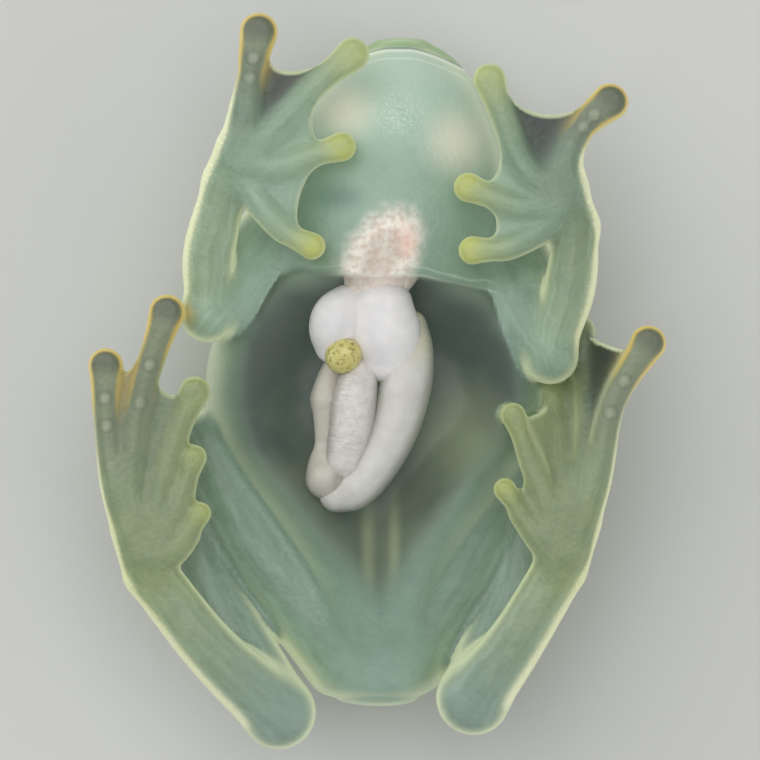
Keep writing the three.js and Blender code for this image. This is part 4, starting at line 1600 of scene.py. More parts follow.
@dataclass
class Skin:
    """The one closed skin: its distance field, its mesh and the numbers that its colours come from."""

    trunk: Trunk
    cell: float = 0.16

    LOWEST = (-10.9, -13.6, -0.5)
    HIGHEST = (10.7, 13.6, 8.7)
    TRUNK_TONE = Tone(0.5)
    LID_TONE = Tone(0.7)
    LID_BLEND = 0.5
    LIP_TONE = Tone(0.95)
    LIP_BLEND = 0.2
    LIP_FROM = 8.2
    LIP_TO = 12.1
    LIP_POINTS = 14
    LIP_INSET = 0.2
    LIP_RADIUS = 0.25
    LIP_SAMPLES = 4
    LIP_STEPS = 27
    SOCKET_EDGE = 0.24
    NOSTRIL_Y = 11.15
    NOSTRIL_ANGLE = 2.0 - np.pi / 2
    NOSTRIL_RADIUS = 0.24
    NOSTRIL_EDGE = 0.16

    # How far a piece of flesh tints the skin, and over what length its weight falls to 1/e
    TINT_REACH = 0.8
    TINT_LENGTH = 0.16
    NEARNESS = (-0.1, 4.0)
    # Keeps the noise of one limb apart from the next
    ALONG_STEP = 3.7
    FRINGE_LIMIT = 1.2
    OFF_WEB = 4
    UNREACHED = 9.0
    PAD_LEVEL_REACH = 0.8
    FREE_SHARE = (0.35, 0.7)
    FREE_DISTANCE = (0.5, 0.1)

    # What covers the clear belly: limbs over it, and the flanks below it
    LIMB_COVER = 3.0
    LIMB_SHARE = (0.1, 0.75)
    FLANK_COVER = 4.0
    FLANK_LEVEL = 5.2
    FLANK_FADE = 0.6

    def core(self) -> list[Flesh]:
        """Puts together the body, the lids and the lip.

        Returns:
            The flesh.
        """
        rim_y = np.linspace(self.LIP_FROM, self.LIP_TO, self.LIP_POINTS)
        right, left = (self.trunk.side_at(rim_y, side.value, MOUTH_LEVEL, self.LIP_INSET) for side in Side)
        rim = np.vstack([right, left[::-1]])
        thickness = np.full(self.LIP_SAMPLES, self.LIP_RADIUS)
        lip = Tube(rim, thickness, thickness, steps=self.LIP_STEPS)
        return [
            Flesh(self.trunk, Kind.TRUNK, self.TRUNK_TONE, self.TRUNK_TONE, SHARP),
            *(Flesh(eye.mound(), Kind.TRUNK, self.LID_TONE, self.LID_TONE, self.LID_BLEND) for eye in EYES),
            Flesh(lip, Kind.TRUNK, self.LIP_TONE, self.LIP_TONE, self.LIP_BLEND),
        ]

    def build(self) -> bpy.types.Object:
        """Joins all flesh, opens the eyes and nostrils, meshes the skin and paints it.

        Returns:
            The skin.
        """
        low, high = np.array(self.LOWEST), np.array(self.HIGHEST)
        whole = DistanceField(low, high, self.cell)
        core = self.core()
        uppers = [limb.upper() for limb in LIMBS]
        for part in (*core, *uppers):
            whole.join(part.shape, part.blend)
        for centre in SKIN_FOLDS:
            whole.join(Ball(centre, FOLD_RADII), FOLD_BLEND)
        lowers: list[Flesh] = []
        for limb, upper in zip(LIMBS, uppers):
            group = DistanceField(low, high, self.cell)
            group.join(upper.shape, SHARP)
            parts = limb.lower()
            for part in parts:
                group.join(part.shape, part.blend)
            whole.merge(group, limb.BLEND)
            lowers += parts
        for eye in EYES:
            whole.cut(eye.ball_room(), SHARP)
            whole.cut(eye.socket(), self.SOCKET_EDGE)
            nostril = self.trunk.back_at(self.NOSTRIL_Y, eye.side.value, self.NOSTRIL_ANGLE)
            whole.cut(Ball(nostril, (self.NOSTRIL_RADIUS,) * 3), self.NOSTRIL_EDGE)
        whole.press(FLOOR_LEVEL, PRESS_LEVEL)
        vertices, faces = whole.skin()
        numbers = self.paint(vertices, faces, [*core, *uppers, *lowers])
        return add_mesh("frog_skin", vertices + OWN_SHIFT, faces, numbers)

    def paint(self, vertices: Array, faces: Array, parts: Sequence[Flesh]) -> dict[str, Array]:
        """Works out the numbers that the material reads at each vertex.

        Args:
            vertices: The skin's vertices.
            faces: Its quads.
            parts: All pieces of flesh.

        Returns:
            Numbers by name.
        """
        numbers = self._tints(vertices, parts)
        numbers.update(self._free_digits(vertices))
        window = outline_distance(vertices[:, :2], np.array(WINDOW_OUTLINE))
        limbs = numbers["digit"] + numbers["web"] + numbers["limb"]
        cover = self.LIMB_COVER * smoothstep(limbs, *self.LIMB_SHARE)
        flank = self.FLANK_COVER * smoothstep(self.FLANK_LEVEL - vertices[:, 2], 0, self.FLANK_FADE)
        numbers["window"] = window + cover + flank
        numbers["tilt"] = vertex_normals(vertices, faces)[:, 2]
        return numbers

    def _tints(self, vertices: Array, parts: Sequence[Flesh]) -> dict[str, Array]:
        """Mixes the tints of the flesh round each vertex, and finds its place on the nearest tube.

        The nearness of each piece of flesh, exp(-distance / TINT_LENGTH), weighs its tint.

        Args:
            vertices: The skin's vertices.
            parts: All pieces of flesh.

        Returns:
            Numbers by name.
        """
        count = len(vertices)
        total = np.full(count, TINY)
        sums = {name: np.zeros(count) for name in ("pale", "yellow", "blue", "digit", "web", "limb", "outer")}
        places = {name: np.zeros(count) for name in ("along", "across", "radial")}
        best = np.full(count, np.inf)
        web_edge = np.full(count, self.UNREACHED)
        for number, part in enumerate(parts):
            low, high = part.shape.reach()
            within = (vertices > low - self.TINT_REACH) & (vertices < high + self.TINT_REACH)
            near = np.flatnonzero(within.all(axis=1))
            if not len(near):
                continue
            points = vertices[near]
            if isinstance(part.shape, Tube):
                found = part.shape.locate(points)
                found["along"] = found["run"] + self.ALONG_STEP * number
                share = (found["run"] / part.shape.run[-1]) ** part.gather
            else:
                found = {"distance": part.shape.distance(points), "across": np.zeros(len(points))}
                share = found["across"]
            distance = found["distance"]
            nearer = distance < best[near]
            best[near] = np.where(nearer, distance, best[near])
            for name in places.keys() & found.keys():
                places[name][near] = np.where(nearer, found[name], places[name][near])
            weight = np.exp(-np.clip(distance, *self.NEARNESS) / self.TINT_LENGTH)
            total[near] += weight
            for name in ("pale", "yellow", "blue"):
                first, last = getattr(part.start, name), getattr(part.end, name)
                sums[name][near] += weight * (first + (last - first) * share)
            if part.kind is not Kind.TRUNK:
                sums[part.kind.value][near] += weight
            if part.fringe:
                sums["outer"][near] += weight * np.clip(part.fringe * found["across"], 0, self.FRINGE_LIMIT)
            if isinstance(part.shape, Web):
                edge = part.shape.edge_distance(points) + self.OFF_WEB * np.maximum(distance, 0)
                web_edge[near] = np.minimum(web_edge[near], edge)
        return {name: values / total for name, values in sums.items()} | places | {"web_edge": web_edge}

    def _free_digits(self, vertices: Array) -> dict[str, Array]:
        """Finds each vertex's place on the digits that stand free of the body.

        Args:
            vertices: The skin's vertices.

        Returns:
            The distance from the nearest pad's middle and the offset in front of it, in the pad's radii, the
            level distance from the nearest joint, and how much of the digit's free end the vertex is on.
        """
        disc, joint = (np.full(len(vertices), self.UNREACHED) for _ in range(2))
        front = np.full(len(vertices), -self.UNREACHED)
        free = np.zeros(len(vertices))
        for digit in [digit for limb in LIMBS for digit in limb.digits if digit.clear]:
            offset = vertices - digit.tip()
            flat = np.linalg.norm(offset[:, :2], axis=1) / digit.disc
            nearer = (flat < disc) & (np.abs(offset[:, 2]) < self.PAD_LEVEL_REACH)
            disc = np.where(nearer, flat, disc)
            front = np.where(nearer, offset @ digit.forward() / digit.disc, front)
            found = digit.tube().locate(vertices)
            share = smoothstep(found["run"] / found["run"].max(), *self.FREE_SHARE)
            free = np.maximum(free, share * smoothstep(found["distance"], *self.FREE_DISTANCE))
            for middle in digit.joints():
                joint = np.minimum(joint, np.linalg.norm((vertices - middle)[:, :2], axis=1))
        return {"disc": disc, "front": front, "joint": joint, "free": free}


@dataclass(frozen=True)
class SkinColours:
    """The colours of the frog's skin, linear."""

    dark: tuple = linear_rgb(74, 98, 76)
    pale: tuple = linear_rgb(172, 200, 180)
    shade: tuple = linear_rgb(92, 128, 108)
    # Cream: painted rim light and painted glow, the pale fringes and the webs' free edges
    cream: tuple = linear_rgb(212, 220, 182)
    glow: tuple = linear_rgb(228, 226, 208)
    grain: tuple = linear_rgb(214, 222, 206)
    yellow: tuple = linear_rgb(182, 186, 90)
    gold: tuple = linear_rgb(212, 180, 72)
    blue: tuple = linear_rgb(150, 164, 160)
    # Dark: painted shade of the webs and of the mouth's slit, and the rings round the joints
    web: tuple = linear_rgb(50, 58, 52)
    # Greys: painted shade of the free digits' shafts and pads
    pad: tuple = linear_rgb(84, 90, 72)
    jelly: tuple = linear_rgb(112, 116, 98)
    # The bright edge of the outer fringes, partly painted rim light
    rim: tuple = linear_rgb(232, 232, 196)
    lip: tuple = linear_rgb(150, 178, 128)
    jaw: tuple = linear_rgb(226, 236, 222)
    heart_light: tuple = linear_rgb(246, 238, 226)
    heart_shade: tuple = linear_rgb(222, 202, 188)
    heart_warm: tuple = linear_rgb(240, 186, 164)
    back: tuple = linear_rgb(118, 160, 70)
    back_spot: tuple = linear_rgb(206, 206, 96)


BLACK = (0.0, 0.0, 0.0, 1.0)


@dataclass(frozen=True)
class Mark:
    """A soft mark on the throat: its place, size and strength."""

    centre: tuple[float, float]
    radii: tuple[float, float]
    strength: float

    def of(self, shader: Shader) -> Value:
        """Returns the mark's share."""
        return shader.spot(self.centre, self.radii) * self.strength


class SkinNumbers:
    """What the skin's looks read at each place: where it is, what was painted on the mesh, and a mottle."""

    PAINTED = (
        "pale", "yellow", "blue", "digit", "web", "limb", "outer", "window", "tilt", "along", "across",
        "web_edge", "radial", "disc", "front", "joint", "free",
    )
    MOTTLE_SIZE = 0.7
    MOTTLE_DETAIL = 3.0

    def __init__(self, shader: Shader, colours: SkinColours) -> None:
        """Reads the numbers in one shader.

        Args:
            shader: The skin's shader.
            colours: The skin's colours.
        """
        self.shader = shader
        self.colours = colours
        self.x, self.y, self.z = shader.place_parts()
        self.painted = {name: shader.attribute(name) for name in self.PAINTED}
        self.trunk = (1.0 - self["limb"] - self["digit"] - self["web"]).most(0.0)
        self.mottle = shader.noise(self.MOTTLE_SIZE, detail=self.MOTTLE_DETAIL)

    def __getitem__(self, name: str) -> Value:
        """Returns a number that was painted on the mesh."""
        return self.painted[name]


class Look:
    """Something that is painted over the skin's colour."""

    def paint(self, skin: SkinNumbers, colour: Any) -> Any:
        """Paints over a colour.

        Args:
            skin: What the skin's looks read at each place.
            colour: The colour below.

        Returns:
            The new colour.
        """
        raise NotImplementedError


@dataclass(frozen=True)
class FleshTone:
    """The green of the flesh, paler where it is painted so and towards the chest, throat and vent."""

    darkening: float = 0.06
    chest: Ramp = Ramp(3.6, 7.0, 0.26)
    throat: Ramp = Ramp(7.0, 10.5, 0.34)
    vent: Ramp = Ramp(-9.0, -11.2, 0.22)
    mottling: float = 0.2
    streaking: float = 0.34
    streaks_along: float = 0.6
    streaks_across: float = 4.0

    def paint(self, skin: SkinNumbers) -> Any:
        """Mixes the colour of the flesh.

        Args:
            skin: What the skin's looks read at each place.

        Returns:
            The colour.
        """
        along, across = skin["along"] * self.streaks_along, skin["across"] * self.streaks_across
        streaks = skin.shader.noise(1.0, vector=skin.shader.vector(along, across))
        light = self.chest.of(skin.y) + self.throat.of(skin.y) + self.vent.of(skin.y)
        lightness = skin["pale"] - self.darkening + light * skin.trunk + skin.mottle.swing(self.mottling)
        lightness = lightness + streaks.swing(self.streaking) * skin["limb"].most(skin["digit"])
        return skin.shader.blend(lightness, skin.colours.dark, skin.colours.pale)


@dataclass(frozen=True)
class LimbLines(Look):
    """What shows through a limb: a pale line beside each edge and a dark one near the middle."""

    waviness: float = 0.5
    edge: Line = Line(0.62, 0.14)
    edge_strength: float = 0.2
    middle: Line = Line(-0.12, 0.16)
    middle_strength: float = 0.15

    def paint(self, skin: SkinNumbers, colour: Any) -> Any:
        """Adds the lines.

        Args:
            skin: What the skin's looks read at each place.
            colour: The colour below.

        Returns:
            The new colour.
        """
        wavy = skin["across"] + skin.mottle.swing(self.waviness)
        pale = self.edge.of(wavy.absolute())
        dark = self.middle.of(wavy)
        colour = skin.shader.blend(pale * skin["limb"] * self.edge_strength, colour, skin.colours.pale)
        return skin.shader.blend(dark * skin["limb"] * self.middle_strength, colour, skin.colours.dark)


@dataclass(frozen=True)
class Throat(Look):
    """The pale front of the throat, the glow of the eyes through it, its dark patches beside the hands,
    partly pits and partly painted shade of the hands, and its white grains.
    """

    front: Ramp = Ramp(9.2, 11.4)
    front_strength: float = 0.35
    # Dark patches beside the hands: partly pits, partly painted shade of the hands over the throat
    pits: tuple[Mark, ...] = (
        Mark((-1.5, 6.6), (1.4, 0.8), 0.7), Mark((2.4, 6.2), (1.3, 0.8), 0.1),
        Mark((-2.3, 6.0), (1.8, 2.0), 0.3), Mark((2.7, 4.4), (2.4, 0.9), 0.1),
    )
    eye_glows: tuple[Mark, ...] = (
        Mark((-1.25, 9.65), (1.7, 1.5), 0.95), Mark((2.8, 8.62), (1.8, 1.9), 0.9),
    )
    grains: Mark = Mark((0.76, 9.67), (1.5, 1.35), 0.9)
    grain_size: float = 0.085
    grain_edge: Ramp = Ramp(0.55, 0.2, 0.8)
    cloud_edge: Ramp = Ramp(0.45, 0.65, 0.2)
    grain_fade: float = 0.8

    def paint(self, skin: SkinNumbers, colour: Any) -> Any:
        """Adds the throat's marks.

        Args:
            skin: The skin's numbers.
            colour: The colour below.

        Returns:
            The colour with the marks.
        """
        shader, colours = skin.shader, skin.colours
        front = self.front.of(skin.y) * skin.trunk * self.front_strength
        colour = shader.blend(front, colour, colours.grain)
        for marks, tint in ((self.pits, colours.shade), (self.eye_glows, colours.glow)):
            for mark in marks:
                colour = shader.blend(mark.of(shader) * skin.trunk, colour, tint)
        grains = self.grain_edge.of(shader.cells(self.grain_size)) + self.cloud_edge.of(skin.mottle)
        area = shader.spot(self.grains.centre, self.grains.radii, soft=self.grain_fade)
        return shader.blend(grains * area * self.grains.strength * skin.trunk, colour, colours.grain)


@dataclass(frozen=True)
class FringesAndRimLight(Look):
    """Painted rim light, cream on the steep sides of the flesh, and a pale fringe, broad and grainy along the
    outer side of the forearms, partly the skin's own pale edge and partly painted rim light.
    """

    contour: Ramp = Ramp(0.84, 0.35)
    limb_contour: float = 0.35
    body_contour: float = 0.38
    grain_size: float = 0.11
    grain_edge: Ramp = Ramp(0.5, 0.25)
    arm: Ramp = Ramp(-0.2, 1.0)
    fringe: Ramp = Ramp(0.5, 0.92)
    fringe_strength: float = 0.4
    fringe_grains: float = 0.5
    edge: Ramp = Ramp(0.62, 0.84)
    edge_strength: float = 0.65
    edge_grains: float = 0.3

    def paint(self, skin: SkinNumbers, colour: Any) -> Any:
        """Adds the painted rim light and the pale fringe.

        Args:
            skin: The skin's numbers.
            colour: The colour below.

        Returns:
            The colour with the painted rim light and the fringe.
        """
        # Painted rim light: cream where the surface turns steeply away from level
        contour = self.contour.of(skin["tilt"]) * (skin["limb"] * self.limb_contour + self.body_contour)
        colour = skin.shader.blend(contour, colour, skin.colours.cream)
        grains = self.grain_edge.of(skin.shader.cells(self.grain_size))
        arm = self.arm.of(skin.y)
        # The outer fringe and its bright edge: partly the skin's own pale edge, partly painted rim light
        fringe = self.fringe.of(skin["outer"]) * (self.fringe_strength + grains * arm * self.fringe_grains)
        colour = skin.shader.blend(fringe, colour, skin.colours.cream)
        edge = self.edge.of(skin["outer"]) * (self.edge_strength + grains * self.edge_grains)
        return skin.shader.blend(edge, colour, skin.colours.rim)


@dataclass(frozen=True)
class Webbing(Look):
    """The webs: dark where nothing lies behind them, painted shade for an unlit background seen through them,
    with a pale free edge.
    """

    edge: Ramp = Ramp(0.2, 0.06)
    dark: Ramp = Ramp(0.42, 0.2)
    edge_strength: float = 0.35
    dark_edge_strength: float = 0.45

    def paint(self, skin: SkinNumbers, colour: Any) -> Any:
        """Adds the webs.

        Args:
            skin: What the skin's looks read at each place.
            colour: The colour below.

        Returns:
            The new colour.
        """
        edge = self.edge.of(skin["web_edge"])
        dark = self.dark.of(skin["pale"])
        # Painted shade: the dark of an unlit background seen through the thin web
        colour = skin.shader.blend(skin["web"] * dark * (1.0 - edge), colour, skin.colours.web)
        pale = skin["web"] * edge * (self.edge_strength + dark * self.dark_edge_strength)
        return skin.shader.blend(pale, colour, skin.colours.cream)


@dataclass(frozen=True)
class FreeDigits(Look):
    """The digits that stand free of the body: grey, with soft joint marks, grey pads and bright rims. The
    grey of the shafts and pads is painted shade, an unlit background seen through them; the gold rims are
    partly the pads' yellow and partly painted rim light.
    """

    jelly_strength: float = 0.7
    ring: Line = Line(0.27, 0.1)
    ring_strength: float = 0.2
    knuckle: Ramp = Ramp(0.26, 0.06)
    knuckle_strength: float = 0.22
    tip: Ramp = Ramp(3.6, 1.4)
    rim: Ramp = Ramp(0.6, 0.9)
    rim_strength: float = 0.9
    pad_edge: Ramp = Ramp(1.0, 0.78)
    pad_front: Ramp = Ramp(-0.9, 0.2)
    pad_inside: Ramp = Ramp(0.9, 0.72)
    pad_strength: float = 0.85

    def paint(self, skin: SkinNumbers, colour: Any) -> Any:
        """Adds the marks of the free digits.

        Args:
            skin: The skin's numbers.
            colour: The colour below.

        Returns:
            The colour with the marks.
        """
        shader, colours = skin.shader, skin.colours
        free = skin["free"] * skin["digit"]
        # Painted shade: the grey of an unlit background seen through the free digits
        colour = shader.blend(free * self.jelly_strength, colour, colours.jelly)
        ring = self.ring.of(skin["joint"]) * free * self.ring_strength
        colour = shader.blend(ring, colour, colours.web)
        knuckle = self.knuckle.of(skin["joint"]) * free * self.knuckle_strength
        colour = shader.blend(knuckle, colour, colours.glow)
        tip = self.tip.of(skin["disc"]) * skin["digit"]
        rim = self.rim.of(skin["radial"]) * tip
        pad = self.pad_edge.of(skin["disc"]) * self.pad_front.of(skin["front"])
        pad = pad * self.pad_inside.of(skin["radial"])
        # Gold rims round the pads, partly their yellow and partly painted rim light; then the grey pads,
        # painted shade
        colour = shader.blend(rim * self.rim_strength, colour, colours.gold)
        return shader.blend(pad * self.pad_strength, colour, colours.pad)


@dataclass(frozen=True)
class HeartWindow:
    """The place in the chest, a leaning ellipse, where the heart shines through as lacy cream and pink."""

    centre: tuple[float, float] = (0.1, 4.5)
    radii: tuple[float, float] = (1.34, 1.72)
    lean: float = 0.3
    raggedness: float = 0.4
    ragged_size: float = 0.5
    lace_size: float = 0.26
    lace_edge: Ramp = Ramp(0.34, 0.62)
    warm: Mark = Mark((1.0, 5.0), (0.8, 0.9), 0.55)
    edge: Ramp = Ramp(1.3, 0.62)
    lower_edge: Ramp = Ramp(3.0, 3.8)
    strength: float = 0.94
    clear_edge: Ramp = Ramp(0.72, 0.3, 0.7)
    veil: Ramp = Ramp(3.6, 6.0, 0.8)

    def reach(self, skin: SkinNumbers) -> Value:
        """Measures how far out from the window's middle a place is.

        Args:
            skin: What the skin's looks read at each place.

        Returns:
            0 at the middle and 1 at the edge.
        """
        along = skin.y - self.centre[1]
        beside = (skin.x - self.centre[0]) - along * self.lean
        u, v = beside / self.radii[0], along / self.radii[1]
        return (u * u + v * v) ** 0.5

    def paint(self, skin: SkinNumbers, colour: Any, reach: Value) -> Any:
        """Adds the heart's tissue, with a soft ragged edge.

        Args:
            skin: The skin's numbers.
            colour: The colour below.
            reach: The window's reach.

        Returns:
            The colour with the tissue.
        """
        shader, colours = skin.shader, skin.colours
        ragged = reach + shader.noise(self.ragged_size, detail=1.0).swing(self.raggedness)
        lace = self.lace_edge.of(shader.noise(self.lace_size))
        tissue = shader.blend(lace, colours.heart_shade, colours.heart_light)
        tissue = shader.blend(self.warm.of(shader), tissue, colours.heart_warm)
        share = self.edge.of(ragged) * self.lower_edge.of(skin.y) * skin.trunk * self.strength
        return shader.blend(share, colour, tissue)

    def clear(self, skin: SkinNumbers, reach: Value) -> Value:
        """Returns how clear the skin is over the heart, veiled towards the throat."""
        return self.clear_edge.of(reach) * (1.0 - self.veil.of(skin.y)) * skin.trunk


@dataclass(frozen=True)
class ChestFibres(Look):
    """The two thin pale fibres across the upper edge of the clear belly."""

    level: float = 3.74
    drop_from: float = 0.8
    drop: float = 0.05
    wave_size: float = 1.5
    wave: float = 0.3
    second_wave: float = 1.7
    second_above: float = 0.28
    first_line: Line = Line(0.0, 0.09)
    second_line: Line = Line(0.0, 0.07)
    first_strength: float = 0.4
    second_strength: float = 0.25
    right_end: Ramp = Ramp(-3.0, -1.2)
    left_end: Ramp = Ramp(4.6, 4.0)

    def paint(self, skin: SkinNumbers, colour: Any) -> Any:
        """Adds the fibres.

        Args:
            skin: The skin's numbers.
            colour: The colour below.

        Returns:
            The colour with the fibres.
        """
        drop = (skin.x - self.drop_from).most(0.0)
        line = skin.y - self.level + drop * drop * self.drop
        wave = skin.shader.noise(self.wave_size, detail=1.0).swing(self.wave)
        first = self.first_line.of(line + wave)
        second = self.second_line.of(line + wave * self.second_wave - self.second_above)
        reach = self.right_end.of(skin.x) * self.left_end.of(skin.x)
        fibres = first * self.first_strength + second * self.second_strength
        return skin.shader.blend(fibres * reach * skin.trunk, colour, skin.colours.grain)


@dataclass(frozen=True)
class Mouth(Look):
    """The line of the mouth, dark with painted shade in the slit between the jaws, the pale edge of the lower
    jaw and the green upper lip that stands past it.
    """

    jaw_end: float = 11.97
    jaw_right: float = 1.1
    jaw_left: float = 0.3
    jaw_curve: float = 1.42
    jaw_drop: float = 0.26
    front: Ramp = Ramp(9.6, 11.0)
    lip_start: Ramp = Ramp(0.03, 0.12)
    lip_level: Ramp = Ramp(2.8, 3.6)
    lip_strength: float = 0.85
    jaw_line: Line = Line(-0.07, 0.09)
    inner_line: Line = Line(-0.36, 0.07, 0.5)
    jaw_strength: float = 0.85
    gap_line: Line = Line(0.03, 0.06)
    corners: Ramp = Ramp(7.9, 8.4)
    gap_strength: float = 0.6

    def paint(self, skin: SkinNumbers, colour: Any) -> Any:
        """Adds the mouth.

        Args:
            skin: The skin's numbers.
            colour: The colour below.

        Returns:
            The colour with the mouth.
        """
        shader, colours = skin.shader, skin.colours
        right, left = (skin.x - self.jaw_right).most(0.0), (self.jaw_left - skin.x).most(0.0)
        jaw_end = self.jaw_end - (right**self.jaw_curve + left**self.jaw_curve) * self.jaw_drop
        past = (MOUTH_LEVEL - skin.z).most(skin.y - jaw_end)
        front = self.front.of(skin.y) * skin.trunk
        upper = self.lip_start.of(past) * self.lip_level.of(skin.z)
        colour = shader.blend(upper * front * self.lip_strength, colour, colours.lip)
        lower = self.jaw_line.of(past).most(self.inner_line.of(past))
        colour = shader.blend(lower * front * self.jaw_strength, colour, colours.jaw)
        # Painted shade: a dark line in the slit of the mouth, past the jaw's pale edge
        gap = self.gap_line.of(past) * self.corners.of(skin.y) * skin.trunk * self.gap_strength
        return shader.blend(gap, colour, colours.web)


@dataclass(frozen=True)
class Back(Look):
    """The lime green back with its yellow spots."""

    spot_pitch: float = 1.3
    spot_edge: Ramp = Ramp(0.3, 0.18)
    level: Ramp = Ramp(4.6, 3.2)
    facing: Ramp = Ramp(0.4, -0.3)

    def paint(self, skin: SkinNumbers, colour: Any) -> Any:
        """Adds the back.

        Args:
            skin: What the skin's looks read at each place.
            colour: The colour below.

        Returns:
            The new colour.
        """
        spots = self.spot_edge.of(skin.shader.cells(self.spot_pitch))
        back = skin.shader.blend(spots, skin.colours.back, skin.colours.back_spot)
        return skin.shader.blend(self.level.of(skin.z) * self.facing.of(skin["tilt"]), colour, back)


@dataclass(frozen=True)
class PaintedGlow:
    """Painted glow: the skin's emission, which stands in for the faint light that thin edges pass on."""

    facing: Ramp = Ramp(0.75, 0.1)
    level: Ramp = Ramp(3.6, 5.2)
    limb_gain: float = 0.8
    limb_glow: float = 0.12
    fringe: Ramp = Ramp(0.66, 0.9, 0.6)
    strength: float = 0.2

    def colour(self, skin: SkinNumbers) -> Any:
        """Mixes the painted glow's colour.

        Args:
            skin: What the skin's looks read at each place.

        Returns:
            The colour.
        """
        # Painted light: glow on steep sides towards the belly, more on the limbs and digits, and on the outer
        # fringes
        glow = self.facing.of(skin["tilt"]) * self.level.of(skin.z) * (1.0 + skin["limb"] * self.limb_gain)
        glow = glow + skin["limb"].most(skin["digit"]) * self.limb_glow
        glow = glow + self.fringe.of(skin["outer"])
        return skin.shader.blend(glow, BLACK, skin.colours.cream)


@dataclass(frozen=True)
class SkinFinish:
    """The skin: clear over the belly, jelly green with pale rims on the limbs, partly painted rim light, lime
    green on the back, and emitting a painted glow.
    """

    colours: SkinColours = SkinColours()
    # The painted glow that the skin emits
    glow: PaintedGlow = PaintedGlow()
    heart: HeartWindow = HeartWindow()
    blue_strength: float = 0.6
    yellow_base: float = 0.5
    yellow_mottling: float = 0.9
    yellow_most: float = 0.95
    clearness: float = 0.92
    clear_from: float = 0.2
    clear_fade: float = 1.5
    clear_sharpening: float = 1.15
    sharp_top: Ramp = Ramp(1.6, 3.2)
    clear_trunk: Ramp = Ramp(0.5, 0.9)
    relief_size: float = 0.2
    relief_depth: float = 0.03
    roughness: float = 0.42
    scatter: float = 0.3
    scatter_radius: tuple[float, float, float] = (0.8, 1.0, 0.7)
    scatter_length: float = 0.8
    coat: float = 0.12
    coat_roughness: float = 0.2

    def material(self) -> Any:
        """Makes the material from the numbers painted on the mesh.

        Returns:
            The material.
        """
        shader = Shader("frog_skin")
        skin = SkinNumbers(shader, self.colours)
        colour = FleshTone().paint(skin)
        colour = LimbLines().paint(skin, colour)
        colour = Throat().paint(skin, colour)
        colour = shader.blend(skin["blue"] * self.blue_strength, colour, self.colours.blue)
        # Painted rim light on steep sides, and the pale fringes
        colour = FringesAndRimLight().paint(skin, colour)
        yellow = skin["yellow"] * (self.yellow_base + self.yellow_mottling * skin.mottle)
        colour = shader.blend(yellow.least(self.yellow_most), colour, self.colours.yellow)
        colour = Webbing().paint(skin, colour)
        colour = FreeDigits().paint(skin, colour)
        reach = self.heart.reach(skin)
        colour = self.heart.paint(skin, colour, reach)
        colour = ChestFibres().paint(skin, colour)
        colour = Mouth().paint(skin, colour)
        colour = Back().paint(skin, colour)
        relief = shader.noise(self.relief_size, detail=1.0)
        # Painted light: the skin emits the painted glow's colour
        light = self.glow.colour(skin)
        return shader.finish({
            "Emission Color": light, "Emission Strength": self.glow.strength,
            "Base Color": colour, "Roughness": self.roughness, "Alpha": 1.0 - self.clear(skin, reach),
            "Subsurface Weight": self.scatter, "Subsurface Radius": self.scatter_radius,
            "Subsurface Scale": self.scatter_length * MM,
            "Coat Weight": self.coat, "Coat Roughness": self.coat_roughness,
            "Normal": shader.bump(relief, self.relief_depth),
        })

    def clear(self, skin: SkinNumbers, reach: Value) -> Value:
        """Works out how clear the skin is: sharp at the top of the belly, soft at its sides.

        Args:
            skin: The skin's numbers.
            reach: The reach of the heart's window.

        Returns:
            A number of 0 to the full clearness.
        """
        width = self.clear_fade - self.sharp_top.of(skin.y) * self.clear_sharpening
        belly = ((self.clear_from - skin["window"]) / width).rise(0.0, 1.0)
        heart = self.heart.clear(skin, reach)
        return (belly * self.clear_trunk.of(skin.trunk)).most(heart) * self.clearness


# What the clear belly shows


@dataclass
class Cavity:
    """The lining of the hollow under the clear belly, a thin closed bowl, painted dark as the shade of the
    hollow.
    """

    trunk: Trunk
    rows: int = 36
    columns: int = 120
    spread: float = 1.05
    widest: float = 0.95
    thickness: float = 0.2
    first_row: float = 0.02
    below_skin: float = 0.35
    rim_start: float = 0.45

    def build(self) -> bpy.types.Object:
        """Builds the bowl: rings scaled from the window's outline, steep at the rim and level in the middle.

        Returns:
            The lining; each vertex knows its share of the way out to the rim.
        """
        centre = np.array(WINDOW_CENTRE)
        outline = np.array(HOLLOW_TOP + WINDOW_OUTLINE[TOP_POINTS:])[::-1]
        edge = catmull_rom(np.vstack([outline, outline[:1]]), self.columns + 1)[:-1]
        share = np.linspace(self.first_row, 1, self.rows)[:, None, None]
        flat = centre + (edge - centre) * self.spread * share
        y = flat[..., 1]
        axis, half = body_axis(y), self.trunk.sections(y)[0] * self.widest
        x = axis + np.clip(flat[..., 0] - axis, -half, half)
        top = self.trunk.belly_level(x, y) - self.below_skin
        depth = 1 - smoothstep(share[..., 0], self.rim_start, 1.0)
        upper = top + (CAVITY_FLOOR - top) * depth
        sheets = [np.stack([x, y, upper], axis=-1), np.stack([x, y, upper - self.thickness], axis=-1)[::-1]]
        rings = 2 * self.rows
        vertices = np.concatenate(sheets).reshape(-1, 3)
        vertices, faces = close_ends(vertices, ring_faces(rings, self.columns), rings, self.columns)
        rim = np.broadcast_to(share[..., 0], x.shape)
        rims = np.append(np.concatenate([rim, rim[::-1]]).ravel(), [0.0, 0.0])
        return add_mesh("cavity_lining", vertices + OWN_SHIFT, faces, {"rim": rims})


